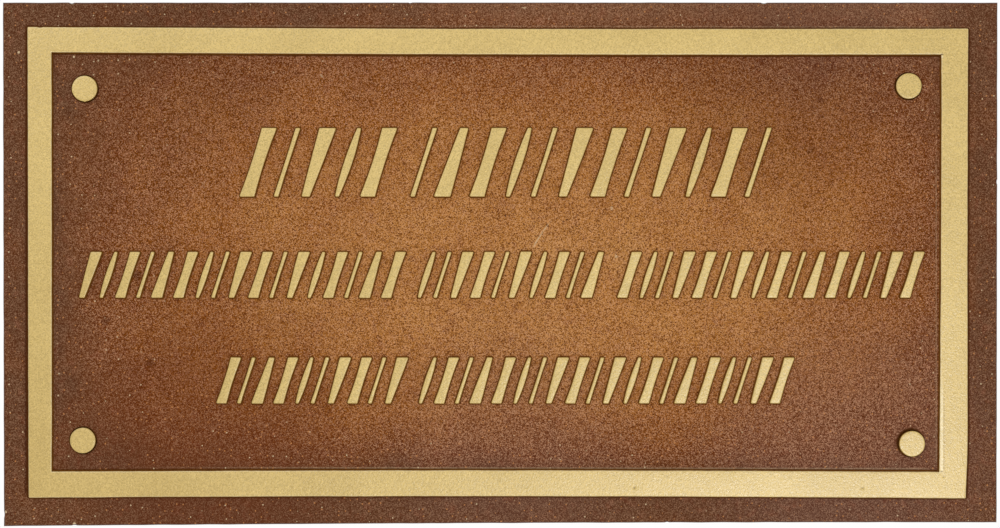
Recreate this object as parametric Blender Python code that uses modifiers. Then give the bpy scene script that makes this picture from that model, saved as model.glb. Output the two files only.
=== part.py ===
"""Dedication plaque: a cast plate with a raised border band, three rows of raised strokes and
four round screw covers.

Metres, +Z up. The origin is the centre of the plate's flat back, which lies in the XZ plane
against the wall. The front faces -Y, and +X is to the right of someone who stands before it.
Depths are given as "out", the distance forward from the back. Places and sizes on the front are
two-dimensional vectors: across (X), then up (Z).
"""

import itertools
import math
from collections import namedtuple

import bmesh
import bpy
from mathutils import Matrix, Vector

MM = 0.001

# Plate
PLATE_WIDTH = 381 * MM
PLATE_HEIGHT = 200 * MM
PLATE_THICKNESS = 6 * MM
BOTTOM_SKEW = 1.5 * MM  # the bottom edge is trimmed out of square, lower at the left
EDGE_ROUND = 0.4 * MM
ROUND_STEPS = 2  # facets of a rounded edge

# Relief: everything raised ends in one plane, with walls that lean like a mould's
RELIEF_HEIGHT = 1.5 * MM
DRAFT_ANGLE = math.radians(15)
ROOT_DEPTH = 1 * MM  # how far raised shapes run into the plate before they are joined to it

# Border band, and the field that it encloses
SIDE_MARGIN = 10.5 * MM
END_MARGIN = 10 * MM
SIDE_LEG = 9.5 * MM
END_LEG = 10 * MM
BAND_SHIFT = Vector((-0.9, 0.1)) * MM
FIELD_SHIFT = Vector((-0.6, 0.1)) * MM  # the left leg is narrower than the right one

# Rows of strokes
STROKE_LEAN = math.radians(18)
END_FLARE = 1.18  # a straight stroke's ends against its middle
TAPER_HEAD = 1.3  # a tapered stroke's wide and narrow ends against a broad stroke
TAPER_TIP = 0.65
SIDE_POINTS = 3  # along each side of a stroke
CURVED_SIDE_POINTS = 5
BLOCK_SHIFT = Vector((3.0, -1.2)) * MM  # the rows' centre against the field's

# Screw covers in their sockets
COVER_DIAMETER = 9.8 * MM
COVER_INSET = 12 * MM  # from the field's two nearest edges to the cover's centre
COVER_EDGE_ROUND = 0.3 * MM
SOCKET_DEPTH = 1 * MM
CLEARANCE = 0.3 * MM  # around a cover and below it
COVER_SIDES = 40

OVERCUT = 2 * MM  # how far a cutter runs past the surface that it cuts
SHARP_ANGLE = math.radians(30)  # edges that turn more than this are rounded and shaded sharp

Row = namedtuple("Row", "height side_space shift space_above words word_gap broad fine first_stroke")
ROWS = (
    Row(
        height=26.3 * MM,
        side_space=68.5 * MM,
        shift=0.5 * MM,
        space_above=0,
        words=(5, 12),
        word_gap=13.5 * MM,
        broad=4.8 * MM,
        fine=1.5 * MM,
        first_stroke=0,
    ),
    Row(
        height=17.6 * MM,
        side_space=7.8 * MM,
        shift=-1.5 * MM,
        space_above=21.2 * MM,
        words=(17, 10, 16),
        word_gap=9.6 * MM,
        broad=3.3 * MM,
        fine=1.2 * MM,
        first_stroke=2,
    ),
    Row(
        height=17.6 * MM,
        side_space=59.6 * MM,
        shift=0.4 * MM,
        space_above=22.9 * MM,
        words=(10, 20),
        word_gap=9.2 * MM,
        broad=3.3 * MM,
        fine=1.2 * MM,
        first_stroke=4,
    ),
)

Cover = namedtuple("Cover", "name side end offset proud")
COVERS = (
    Cover("screw_cover_top_left", -1, 1, Vector((0.7, -1.3)) * MM, 0),
    Cover("screw_cover_top_right", 1, 1, Vector((-0.3, -0.3)) * MM, 0),
    Cover("screw_cover_bottom_left", -1, -1, Vector((0, -0.2)) * MM, 0),
    Cover("screw_cover_bottom_right", 1, -1, Vector((0.8, -1.4)) * MM, 0.8 * MM),
)

# Worked out from the values above
FACE_OUT = PLATE_THICKNESS + RELIEF_HEIGHT
ROOT_OUT = PLATE_THICKNESS - ROOT_DEPTH
BAND_SIZE = Vector((PLATE_WIDTH - 2 * SIDE_MARGIN, PLATE_HEIGHT - 2 * END_MARGIN))
BAND_CENTRE = BAND_SHIFT
FIELD_SIZE = Vector((BAND_SIZE.x - 2 * SIDE_LEG, BAND_SIZE.y - 2 * END_LEG))
FIELD_CENTRE = BAND_CENTRE + FIELD_SHIFT
BLOCK_CENTRE = FIELD_CENTRE + BLOCK_SHIFT

# A stroke's width at its foot, middle and head, and how many points each of its sides has
Stroke = namedtuple("Stroke", "foot middle head side_points")


def wall_run(out):
    """How far a leaning wall stands outside its face outline at this depth."""
    return (FACE_OUT - out) * math.tan(DRAFT_ANGLE)


def principled(name, colour, roughness, metallic):
    """A plain material of one colour, in linear values."""
    made = bpy.data.materials.new(name)
    made.use_nodes = True
    shader = made.node_tree.nodes["Principled BSDF"]
    shader.inputs["Base Color"].default_value = (*colour, 1)
    shader.inputs["Roughness"].default_value = roughness
    shader.inputs["Metallic"].default_value = metallic
    made.diffuse_color = (*colour, 1)
    return made


def add_object(name, mesh, collection, materials):
    """Turns a bmesh into an object of this collection."""
    data = bpy.data.meshes.new(name)
    mesh.to_mesh(data)
    mesh.free()
    for finish in materials:
        data.materials.append(finish)
    made = bpy.data.objects.new(name, data)
    collection.objects.link(made)
    return made


def tapered_box(centre, size, outs, lean):
    """A box between two depths, with this size at the face. Its sides lean in towards the front
    where lean is 1, and out where it is -1."""
    mesh = bmesh.new()
    bmesh.ops.create_cube(mesh, size=2)
    for vert in mesh.verts:
        out = outs[1] if vert.co.y < 0 else outs[0]
        half = size / 2 + Vector((1, 1)) * lean * wall_run(out)
        vert.co = Vector((centre.x + vert.co.x * half.x, -out, centre.y + vert.co.z * half.y))
    return mesh


def paint(mesh, face_index, wall_index):
    """Gives the faces that lie square to the front one material, and the walls another."""
    mesh.normal_update()
    for face in mesh.faces:
        face.material_index = face_index if abs(face.normal.y) > math.cos(DRAFT_ANGLE) else wall_index


def plate_mesh():
    """The blank, with its bottom edge out of square."""
    mesh = bmesh.new()
    bmesh.ops.create_cube(mesh, size=1)
    bmesh.ops.scale(mesh, verts=mesh.verts, vec=(PLATE_WIDTH, PLATE_THICKNESS, PLATE_HEIGHT))
    bmesh.ops.translate(mesh, verts=mesh.verts, vec=(0, -PLATE_THICKNESS / 2, 0))
    for vert in mesh.verts:
        if vert.co.z < 0:
            vert.co.z += math.copysign(BOTTOM_SKEW / 2, vert.co.x)
    return mesh


def strokes_of(row):
    """The endless order of strokes. None of them, alone or with its neighbours, makes a letter."""
    broad = Stroke(END_FLARE * row.broad, row.broad, END_FLARE * row.broad, SIDE_POINTS)
    fine = Stroke(END_FLARE * row.fine, row.fine, END_FLARE * row.fine, SIDE_POINTS)
    leaf = Stroke(row.fine, (row.fine + row.broad) / 2, row.fine, CURVED_SIDE_POINTS)
    nail = Stroke(TAPER_TIP * row.broad, row.broad, TAPER_HEAD * row.broad, SIDE_POINTS)
    spike = Stroke(TAPER_HEAD * row.broad, row.broad, TAPER_TIP * row.broad, SIDE_POINTS)
    order = [broad, fine, nail, leaf, broad, fine, spike, broad, leaf, fine, nail]
    start = row.first_stroke % len(order)
    return itertools.cycle(order[start:] + order[:start])


def stroke_width(stroke):
    """The room that a stroke takes along its row, without its lean."""
    return max(stroke.foot, stroke.middle, stroke.head)


def half_width(stroke, along):
    """Half a stroke's width, where along runs from -1 at its foot to 1 at its head."""
    tilt = (stroke.head - stroke.foot) / 2
    bend = (stroke.head + stroke.foot) / 2 - stroke.middle
    return (stroke.middle + tilt * along + bend * along**2) / 2


def pairs_round(items):
    """Each item with the one after it, and the last with the first."""
    return zip(items, items[1:] + items[:1], strict=True)


def stroke_outline(row, stroke, left, foot, grow):
    """The points round a stroke, anticlockwise from in front, grown by this much on every side."""
    right_side, left_side = [], []
    reach = grow / math.cos(STROKE_LEAN)
    for step in range(stroke.side_points):
        share = step / (stroke.side_points - 1)
        height = share * (row.height + 2 * grow) - grow
        middle = left + stroke_width(stroke) / 2 + height * math.tan(STROKE_LEAN)
        half = half_width(stroke, 2 * share - 1) + reach
        right_side.append((middle + half, foot + height))
        left_side.append((middle - half, foot + height))
    return right_side + left_side[::-1]


def add_stroke(mesh, row, stroke, left, foot):
    """One stroke, lofted from its face back to the wider root that it has in the plate."""
    rings = [
        [mesh.verts.new((x, -out, z)) for x, z in stroke_outline(row, stroke, left, foot, wall_run(out))]
        for out in (FACE_OUT, ROOT_OUT)
    ]
    for ring in rings:
        mesh.faces.new(ring)
    for (near, far), (next_near, next_far) in pairs_round(list(zip(*rings, strict=True))):
        mesh.faces.new((near, far, next_far, next_near))


def add_row(mesh, row, foot):
    """A row of strokes, evenly spaced, its words set to fill the row from end to end."""
    strokes = strokes_of(row)
    words = [list(itertools.islice(strokes, count)) for count in row.words]
    taken = sum(stroke_width(stroke) for word in words for stroke in word)
    taken += row.word_gap * (len(words) - 1) + row.height * math.tan(STROKE_LEAN)
    spaces = sum(len(word) - 1 for word in words)
    width = FIELD_SIZE.x - 2 * row.side_space
    space = (width - taken) / spaces
    left = BLOCK_CENTRE.x + row.shift - width / 2
    for word in words:
        for stroke in word:
            add_stroke(mesh, row, stroke, left, foot)
            left += stroke_width(stroke) + space
        left += row.word_gap - space


def strokes_mesh():
    """All the rows, one under another."""
    mesh = bmesh.new()
    block_height = sum(row.height + row.space_above for row in ROWS)
    top = BLOCK_CENTRE.y + block_height / 2
    for row in ROWS:
        top -= row.space_above + row.height
        add_row(mesh, row, top)
    bmesh.ops.recalc_face_normals(mesh, faces=mesh.faces)
    return mesh


def cover_place(cover):
    """A cover's centre, as x and z."""
    corner = Vector((cover.side * FIELD_SIZE.x / 2, cover.end * FIELD_SIZE.y / 2))
    inset = Vector((cover.side * COVER_INSET, cover.end * COVER_INSET))
    return FIELD_CENTRE + corner - inset + cover.offset


def disc_mesh(diameter, near_out, far_out):
    """A round disc on the Y axis between two depths."""
    mesh = bmesh.new()
    bmesh.ops.create_cone(
        mesh,
        cap_ends=True,
        segments=COVER_SIDES,
        radius1=diameter / 2,
        radius2=diameter / 2,
        depth=far_out - near_out,
        matrix=Matrix.Translation((0, -(near_out + far_out) / 2, 0)) @ Matrix.Rotation(math.pi / 2, 4, "X"),
    )
    return mesh


def sockets_mesh():
    """The four round cutters that make the covers' sockets."""
    mesh = bmesh.new()
    for cover in COVERS:
        disc = disc_mesh(COVER_DIAMETER + 2 * CLEARANCE, PLATE_THICKNESS - SOCKET_DEPTH, FACE_OUT + OVERCUT)
        place = cover_place(cover)
        bmesh.ops.translate(disc, verts=disc.verts, vec=(place.x, 0, place.y))
        data = bpy.data.meshes.new("socket")
        disc.to_mesh(data)
        disc.free()
        mesh.from_mesh(data)
        bpy.data.meshes.remove(data)
    return mesh


def add_bevel(target, width):
    """Rounds the sharp edges."""
    bevel = target.modifiers.new("soft edges", "BEVEL")
    bevel.width = width
    bevel.segments = ROUND_STEPS
    bevel.limit_method = "ANGLE"
    bevel.angle_limit = SHARP_ANGLE


def add_boolean(target, operand, operation):
    """Joins a helper to the target, or cuts it out, and keeps the helper out of a render."""
    boolean = target.modifiers.new(operand.name, "BOOLEAN")
    boolean.object = operand
    boolean.operation = operation
    boolean.solver = "EXACT"
    boolean.material_mode = "TRANSFER"
    operand.hide_render = True
    operand.display_type = "WIRE"


def build_plate(collection, helpers, ground, wall, gold):
    """The casting: plate, band and strokes in one piece, with four sockets in it."""
    plate = add_object("plate", plate_mesh(), collection, [ground])
    add_bevel(plate, EDGE_ROUND)

    blank = tapered_box(BAND_CENTRE, BAND_SIZE, (ROOT_OUT, FACE_OUT), 1)
    paint(blank, 1, 0)
    add_boolean(plate, add_object("band blank", blank, helpers, [wall, gold]), "UNION")

    pocket = tapered_box(FIELD_CENTRE, FIELD_SIZE, (PLATE_THICKNESS, FACE_OUT + OVERCUT), -1)
    paint(pocket, 1, 0)
    add_boolean(plate, add_object("field pocket", pocket, helpers, [wall, ground]), "DIFFERENCE")

    strokes = strokes_mesh()
    paint(strokes, 1, 0)
    add_boolean(plate, add_object("strokes", strokes, helpers, [wall, gold]), "UNION")

    sockets = add_object("sockets", sockets_mesh(), helpers, [wall])
    add_boolean(plate, sockets, "DIFFERENCE")


def build_covers(collection, gold):
    """The four flat discs, each set in its socket by hand. The one that stands proud is thicker."""
    seat_out = PLATE_THICKNESS - SOCKET_DEPTH + CLEARANCE
    for cover in COVERS:
        disc = disc_mesh(COVER_DIAMETER, 0, FACE_OUT + cover.proud - seat_out)
        made = add_object(cover.name, disc, collection, [gold])
        place = cover_place(cover)
        made.location = (place.x, -seat_out, place.y)
        add_bevel(made, COVER_EDGE_ROUND)
        made.data.shade_smooth()
        made.data.set_sharp_from_angle(angle=SHARP_ANGLE)


def main():
    for old in list(bpy.data.objects):
        bpy.data.objects.remove(old)
    collection = bpy.data.collections.new("dedication plaque")
    helpers = bpy.data.collections.new("cutters")
    bpy.context.scene.collection.children.link(collection)
    bpy.context.scene.collection.children.link(helpers)

    ground = principled("brown ground", (0.23, 0.1, 0.045), 0.6, 0)
    wall = principled("dark wall", (0.03, 0.012, 0.006), 0.6, 0)
    gold = principled("satin gold", (0.66, 0.47, 0.17), 0.4, 0.6)
    build_plate(collection, helpers, ground, wall, gold)
    build_covers(collection, gold)


main()
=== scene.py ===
"""The looks of the dedication plaque: a cast plate with a raised border band, three rows of raised
strokes and four round screw covers.

Metres, +Z up. The plaque's flat back lies in the XZ plane and its front faces -Y. Depths are given
as "out", the distance forward from the back. Places on the front are vectors across (X), then up (Z).
"""

import itertools
import logging
import math
import random
from collections.abc import Callable, Iterator, Sequence
from dataclasses import dataclass
from enum import Enum
from typing import Any

import bmesh
import bpy
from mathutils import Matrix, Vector, geometry, noise


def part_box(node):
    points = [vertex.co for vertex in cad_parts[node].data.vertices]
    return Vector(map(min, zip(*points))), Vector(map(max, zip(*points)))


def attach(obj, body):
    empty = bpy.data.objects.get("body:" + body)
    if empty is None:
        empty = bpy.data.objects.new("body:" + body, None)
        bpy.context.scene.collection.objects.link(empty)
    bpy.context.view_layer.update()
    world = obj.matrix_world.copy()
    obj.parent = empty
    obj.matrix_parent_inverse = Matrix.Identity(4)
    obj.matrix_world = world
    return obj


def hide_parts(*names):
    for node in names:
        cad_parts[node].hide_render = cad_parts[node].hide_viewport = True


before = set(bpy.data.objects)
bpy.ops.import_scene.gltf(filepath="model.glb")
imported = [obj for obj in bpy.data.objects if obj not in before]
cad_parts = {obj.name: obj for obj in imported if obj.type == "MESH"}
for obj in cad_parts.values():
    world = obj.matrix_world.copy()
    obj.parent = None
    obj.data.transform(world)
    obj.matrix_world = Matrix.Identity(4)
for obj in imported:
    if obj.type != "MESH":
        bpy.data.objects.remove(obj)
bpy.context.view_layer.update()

MM = 0.001
BODY = "root"
PLATE_NODE = "plate"
FOOT_SHADE = "foot_shade"  # attribute: how much painted shadow lies beside the foot of a wall
ARRIS = "arris"  # attribute: how close a point is to the softened edge of a raised face
BAKE_MAP = "OFBake"
SHARP_FROM = math.radians(38)  # faces that meet at more than this keep a sharp edge
LOG = logging.getLogger("plaque")

Colour = tuple[float, float, float]
Moves = tuple[float, float, float]  # of one side, in millimetres: at its start, middle and end


def linear(red: int, green: int, blue: int) -> Colour:
    """Turns a colour seen on a screen, 0 to 255, into the light that it stands for.

    Args:
        red: Red channel.
        green: Green channel.
        blue: Blue channel.

    Returns:
        The three channels as linear values, 0 to 1.
    """
    channels = (channel / 255 for channel in (red, green, blue))
    return tuple(c / 12.92 if c <= 0.04045 else ((c + 0.055) / 1.055) ** 2.4 for c in channels)


class Region(Enum):
    """What a face of the casting is finished as. The value is its material slot."""

    GROUND = 0
    WALL = 1
    BAND = 2
    STROKE = 3
    SIDE = 4
    BACK = 5


@dataclass(frozen=True)
class EdgePoint:
    """A point on a form's core outline, and the way that leads out of the form there."""

    place: Vector
    outward: Vector


@dataclass(frozen=True)
class FootShade:
    """How far the painted shadow at a wall's foot reaches over the ground, by the way the wall faces."""

    left: float
    right: float
    up: float
    down: float

    def shift(self, outward: Vector, reach: float, share: float) -> Vector:
        """Moves from the core outline, wider by the stain where a share of it is wanted.

        Args:
            outward: The way out of the form.
            reach: The distance that every side moves.
            share: How much of the stain's own width is added.

        Returns:
            The move, across and up.
        """
        across = self.left if outward.x < 0 else self.right
        up = self.down if outward.y < 0 else self.up
        return Vector((outward.x * (reach + share * across), outward.y * (reach + share * up)))


@dataclass(frozen=True)
class Nick:
    """A place where the edge of a raised face is cut or worn back.

    Attributes:
        place: Where it is, in millimetres from the middle.
        side: The way out of the form there.
        half_width: Half of its width along the edge, in millimetres.
        depth: Its depth, in millimetres.
    """

    place: tuple[float, float]
    side: tuple[int, int]
    half_width: float
    depth: float

    def at(self, place: Vector) -> Vector:
        """Works out how far a point on or near the edge is moved in.

        Args:
            place: The point.

        Returns:
            The move, across and up.
        """
        out = Vector(self.side)
        offset = (place / MM - Vector(self.place)) / self.half_width
        into = offset.dot(out)
        along = offset - out * into
        reach = 4  # how far it reaches in from the edge, as a share of its width
        return -out * self.depth * MM * math.exp(-along.length_squared - (into / reach) ** 2)


@dataclass(frozen=True)
class Dent:
    """A chip or a small hollow.

    Attributes:
        across: Where it is, in millimetres from the middle.
        up: Where it is, in millimetres from the middle.
        radius: Its radius, in millimetres.
        depth: Its depth, in millimetres.
    """

    across: float
    up: float
    radius: float
    depth: float

    def centre(self) -> Vector:
        """Its centre on the front."""
        return Vector((self.across, self.up)) * MM

    def away(self, place: Vector) -> float:
        """How far a place is from its centre, as a share of its radius."""
        return (place - self.centre()).length / (self.radius * MM)


@dataclass(frozen=True)
class Drift:
    """How a hand-cut rectangle strays from a true one. Its upright sides start at the top and its
    level sides at the left."""

    left: Moves
    right: Moves
    top: Moves
    bottom: Moves

    @staticmethod
    def between(moves: Moves, share: float) -> float:
        """Draws a smooth curve through a side's three moves.

        Args:
            moves: The moves.
            share: How far along the side the place is, 0 to 1.

        Returns:
            The move there, in millimetres.
        """
        start, middle, end = moves
        lean = 2 * (share - 0.5) * (share - 1) * start + 2 * share * (share - 0.5) * end
        return lean + 4 * share * (1 - share) * middle

    def at(self, place: Vector, centre: Vector, half: Vector) -> Vector:
        """Works out how far a point on or near the rectangle strays.

        Args:
            place: The point.
            centre: The rectangle's centre.
            half: Half of the rectangle's size.

        Returns:
            The move, across and up.
        """
        rightward = min(max((place.x - centre.x) / half.x / 2 + 0.5, 0), 1)
        upward = min(max((place.y - centre.y) / half.y / 2 + 0.5, 0), 1)
        left, right = (self.between(side, 1 - upward) for side in (self.left, self.right))
        top, bottom = (self.between(side, rightward) for side in (self.top, self.bottom))
        across = left + (right - left) * rightward
        up = bottom + (top - bottom) * upward
        return Vector((across, up)) * MM


@dataclass(frozen=True)
class Station:
    """A line that runs round a raised form, parallel to the edge of its face.

    Attributes:
        reach: How far it lies outside the face's outline.
        below: How far it lies behind the face, as a share of the relief.
        on_face_side: Region on the side of the face, with None for the face's own.
        on_ground_side: Region on the side of the ground, with None for the face's own.
        foot_shade: The painted-shadow attribute along it.
        spread: How much of the painted shadow's width is added to its reach.
        arris: The arris attribute along it.
        spread: How much of the stain's width is added to its reach.
    """

    reach: float
    below: float
    on_face_side: Region | None
    on_ground_side: Region | None
    foot_shade: float = 0
    arris: float = 0
    spread: float = 0


class ReliefSheet:
    """The front as one sheet of triangles over the wall's plane, with edges along every line."""

    def __init__(self) -> None:
        """Starts with an empty sheet."""
        self.places: list[Vector] = []
        self.outs: list[float | None] = []
        self.foot_shades: list[float] = []
        self.arrises: list[float] = []
        self.loops: list[list[int]] = []
        self.regions: list[Region] = []

    def add_point(
        self, place: Vector, out: float | None = None, foot_shade: float = 0, arris: float = 0
    ) -> int:
        """Adds one point.

        Args:
            place: Where it is.
            out: Its depth, or None for a point that takes the depth of the region around it.
            foot_shade: Its painted-shadow attribute.
            arris: Its arris attribute.

        Returns:
            The point's number.
        """
        self.places.append(place)
        self.outs.append(out)
        self.foot_shades.append(foot_shade)
        self.arrises.append(arris)
        return len(self.places) - 1

    def add_loop(
        self, places: Sequence[Vector], out: float, region: Region, foot_shade: float = 0, arris: float = 0
    ) -> list[int]:
        """Adds a closed line, later than every line that encloses it.

        Args:
            places: Its points, in order.
            out: Its depth.
            region: What lies inside it.
            foot_shade: Its points' painted-shadow attribute.
            arris: Its points' arris attribute.

        Returns:
            The numbers of its points.
        """
        numbers = [self.add_point(place, out, foot_shade, arris) for place in places]
        self.loops.append(numbers)
        self.regions.append(region)
        return numbers

    def triangles(self) -> tuple[list[Vector], list[list[int]], list[Region], list[int | None]]:
        """Cuts the sheet into triangles.

        Returns:
            The corners' places, the triangles, each triangle's region, and each corner's number as
            it was added, with None for a corner that the cutting made.
        """
        scaled = [place / MM for place in self.places]
        tiny = 1e-5
        cut = geometry.delaunay_2d_cdt(scaled, [], self.loops, 1, tiny, True)
        corners, _, faces, from_corners, _, from_faces = cut
        kept = [(face, max(inside)) for face, inside in zip(faces, from_faces, strict=True) if inside]
        faces, regions = [face for face, _ in kept], [self.regions[loop] for _, loop in kept]
        numbers = [origins[0] if origins else None for origins in from_corners]
        return [corner * MM for corner in corners], faces, regions, numbers


def steps(length: float, spacing: float) -> list[float]:
    """Shares of a length, from 0 up to but not including 1, at about this spacing."""
    count = max(1, round(length / spacing))
    return [step / count for step in range(count)]


def walk(corners: Sequence[Vector], spacing: float) -> list[Vector]:
    """Puts points along a closed line of straight sides.

    Args:
        corners: Its corners, anticlockwise.
        spacing: About how far apart the points are.

    Returns:
        The points, corners included.
    """
    places = []
    for start, end in zip(corners, [*corners[1:], corners[0]], strict=True):
        places += [start.lerp(end, share) for share in steps((end - start).length, spacing)]
    return places


def rectangle(centre: Vector, half: Vector) -> list[Vector]:
    """A rectangle's four corners, anticlockwise from the lower left."""
    signs = ((-1, -1), (1, -1), (1, 1), (-1, 1))
    return [centre + Vector((across * half.x, up * half.y)) for across, up in signs]


def raised_edge(places: Sequence[Vector]) -> list[EdgePoint]:
    """Finds the way out at each point of a closed line, with a fan of ways at each corner.

    Args:
        places: The points, anticlockwise.

    Returns:
        The points with their ways out. A corner is there several times.
    """
    fan_steps, corner_turn = 4, math.radians(25)
    found = []
    for index, place in enumerate(places):
        before = (place - places[index - 1]).normalized()
        after = (places[(index + 1) % len(places)] - place).normalized()
        turn = math.acos(min(1, before.dot(after)))
        ways = [Vector((way.y, -way.x)) for way in (before, after)]
        if turn < corner_turn:
            found.append(EdgePoint(place, (ways[0] + ways[1]).normalized()))
            continue
        start = math.atan2(ways[0].y, ways[0].x)
        for step in range(fan_steps + 1):
            angle = start + turn * step / fan_steps
            found.append(EdgePoint(place, Vector((math.cos(angle), math.sin(angle)))))
    return found


def sunk_edge(places: Sequence[Vector], centre: Vector, half: Vector) -> list[EdgePoint]:
    """Finds the way into a sunk rectangle at each point of its outline, so that the outline shrinks
    evenly and its corners stay square.

    Args:
        places: The points.
        centre: The rectangle's centre.
        half: Half of its size.

    Returns:
        The points with the ways that lead from the raised face into the sunk field.
    """
    offsets = [place - centre for place in places]
    inward = [Vector((-offset.x / half.x, -offset.y / half.y)) for offset in offsets]
    return [EdgePoint(place, way) for place, way in zip(places, inward, strict=True)]


@dataclass(frozen=True)
class Relief:
    """The side of every raised form: a leaning wall with a soft foot and a softened upper edge."""

    ground_out: float
    face_out: float
    draft: float = math.radians(15)
    core: float = 0.4 * MM

    def stations(self) -> list[Station]:
        """Lists the lines of a wall.

        Returns:
            The lines, from the ground up to the face.
        """
        height = self.face_out - self.ground_out
        run = height * math.tan(self.draft)
        ground, wall = Region.GROUND, Region.WALL
        return [
            Station(run + 0.12 * MM, 1, ground, ground, spread=1),
            Station(run + 0.04 * MM, 1, wall, ground, foot_shade=1),
            Station(run - 0.06 * MM, 0.9, wall, wall, foot_shade=1),
            Station(0.03 * MM, 0.17, None, wall, arris=0.5),
            Station(-0.1 * MM, 0.055, None, None, arris=1),
            Station(-0.38 * MM, 0, None, None),
        ]

    def add(
        self,
        sheet: ReliefSheet,
        edge: Sequence[EdgePoint],
        face: Region,
        foot_shade: FootShade,
        sunk: bool = False,
        stray: Callable[[Vector], Vector] = lambda place: Vector((0, 0)),
        extra: Callable[[EdgePoint, Station], float] = lambda point, station: 0,
    ) -> None:
        """Adds the lines of one wall to the sheet.

        Args:
            sheet: The sheet.
            edge: The form's core outline.
            face: What the raised face is finished as.
            foot_shade: The widths of the painted shadow at the wall's foot.
            sunk: True if the line encloses the ground, and not the face.
            stray: How far a place strays from the true outline.
            extra: How much further out a line runs at a point.
        """
        stations = self.stations()
        height = self.face_out - self.ground_out
        for station in reversed(stations) if sunk else stations:
            places = []
            for point in edge:
                reach = self.core + station.reach + extra(point, station)
                place = point.place + foot_shade.shift(point.outward, reach, station.spread)
                places.append(place + stray(place))
            region = station.on_ground_side if sunk else station.on_face_side
            out = self.face_out - station.below * height
            sheet.add_loop(places, out, region or face, station.foot_shade, station.arris)


@dataclass
class Blank:
    """The plate itself: its trimmed outline, rounded edges, chips and plain back."""

    width: float
    height: float
    thickness: float
    edge_round: float = 0.4 * MM
    round_steps: int = 4
    spacing: float = 1.4 * MM
    grid: float = 4 * MM
    drift: Drift = Drift(
        left=(-0.37, -0.22, 0.02),
        right=(0.45, 0.3, 0.13),
        top=(0, 0.05, 0),
        bottom=(-1.0, 0.2, 0.48),
    )
    chips: tuple[Dent, ...] = (
        Dent(-164.2, 100, 1.0, 0.35),
        Dent(101.0, 100, 1.2, 0.3),
        Dent(-163.4, -100.3, 1.1, 0.25),
        Dent(-190.4, -95.5, 1.3, 0.18),
        Dent(-34.5, 100, 0.7, 0.2),
        Dent(190.4, 31.0, 1.1, 0.25),
        Dent(64.0, -99.6, 0.9, 0.25),
    )
    wander_size: float = 9 * MM
    wander_depth: float = 0.1 * MM

    def half(self) -> Vector:
        """Half of the plate's size."""
        return Vector((self.width, self.height)) / 2

    def worn(self, place: Vector) -> Vector:
        """Works out how far a point of the outline strays, chips and saw marks included.

        Args:
            place: The point on the true outline.

        Returns:
            The move, across and up.
        """
        move = self.drift.at(place, Vector((0, 0)), self.half())
        across, up = -place.x / self.half().x, -place.y / self.half().y
        on_upright_side = abs(across) > 1 - 1e-4
        inward = Vector((round(across), 0)) if on_upright_side else Vector((0, round(up)))
        wander = noise.noise(Vector((place.x, place.y, 0)) / self.wander_size) * self.wander_depth
        for chip in self.chips:
            wander += chip.depth * MM * max(0, 1 - chip.away(place) ** 2)
        return move + inward * wander

    def outline(self) -> list[EdgePoint]:
        """Walks round the outline, closer where a chip is.

        Returns:
            The points with their ways out.
        """
        half = self.half()
        centre = Vector((0, 0))
        places = []
        corners = rectangle(centre, half)
        for start, end in zip(corners, [*corners[1:], corners[0]], strict=True):
            length = (end - start).length
            shares = set(steps(length, self.spacing))
            for chip in self.chips:
                share, away = self.nearest(chip.centre(), start, end)
                if away < MM:
                    shares |= {share + step * chip.radius * MM / 4 / length for step in range(-4, 5)}
            places += [start.lerp(end, share) for share in sorted(shares) if 0 <= share < 1]
        return [
            EdgePoint(place + self.worn(place), point.outward)
            for place, point in zip(places, self.mitred(places), strict=True)
        ]

    @staticmethod
    def nearest(spot: Vector, start: Vector, end: Vector) -> tuple[float, float]:
        """Finds the nearest point of a side.

        Args:
            spot: The place to be near.
            start: The side's start.
            end: The side's end.

        Returns:
            Its share of the side, and how far it is.
        """
        side = end - start
        share = (spot - start).dot(side) / side.length_squared
        return share, (start + side * share - spot).length

    def mitred(self, places: Sequence[Vector]) -> list[EdgePoint]:
        """The outline's points with ways out that stay square at the corners."""
        into = sunk_edge(places, Vector((0, 0)), self.half())
        return [EdgePoint(point.place, -point.outward) for point in into]

    def add_front(self, sheet: ReliefSheet) -> list[int]:
        """Adds the outline of the flat front.

        Args:
            sheet: The sheet.

        Returns:
            The numbers of its points.
        """
        places = [point.place - point.outward * self.edge_round for point in self.outline()]
        return sheet.add_loop(places, self.thickness, Region.GROUND)

    def skirt(self) -> list[list[Vector]]:
        """Works out the rings from the front's outline round the sides to the back's.

        Returns:
            The rings' points as (across, out, up), the front's outline left out.
        """
        turns = [math.radians(90 * (step + 1) / self.round_steps) for step in range(self.round_steps)]
        inset = self.edge_round
        fall = [(inset * (1 - math.sin(turn)), inset * (1 - math.cos(turn))) for turn in turns]
        front = [(reach, self.thickness - down) for reach, down in fall]
        back = [(down, reach) for reach, down in fall]
        rings = []
        for reach, out in [*front, (0, inset), *back]:
            ring = []
            for point in self.outline():
                place = point.place - point.outward * reach
                ring.append(Vector((place.x, out, place.y)))
            rings.append(ring)
        return rings


@dataclass(frozen=True)
class Stroke:
    """A stroke's width at its foot, middle and head."""

    foot: float
    middle: float
    head: float

    def width(self) -> float:
        """The room that it takes along its row, without its lean."""
        return max(self.foot, self.middle, self.head)

    def half_width(self, along: float) -> float:
        """Works out half its width at a height.

        Args:
            along: The height, from -1 at its foot to 1 at its head.

        Returns:
            Half the width there.
        """
        tilt = (self.head - self.foot) / 2
        bend = (self.head + self.foot) / 2 - self.middle
        return (self.middle + tilt * along + bend * along**2) / 2


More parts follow.
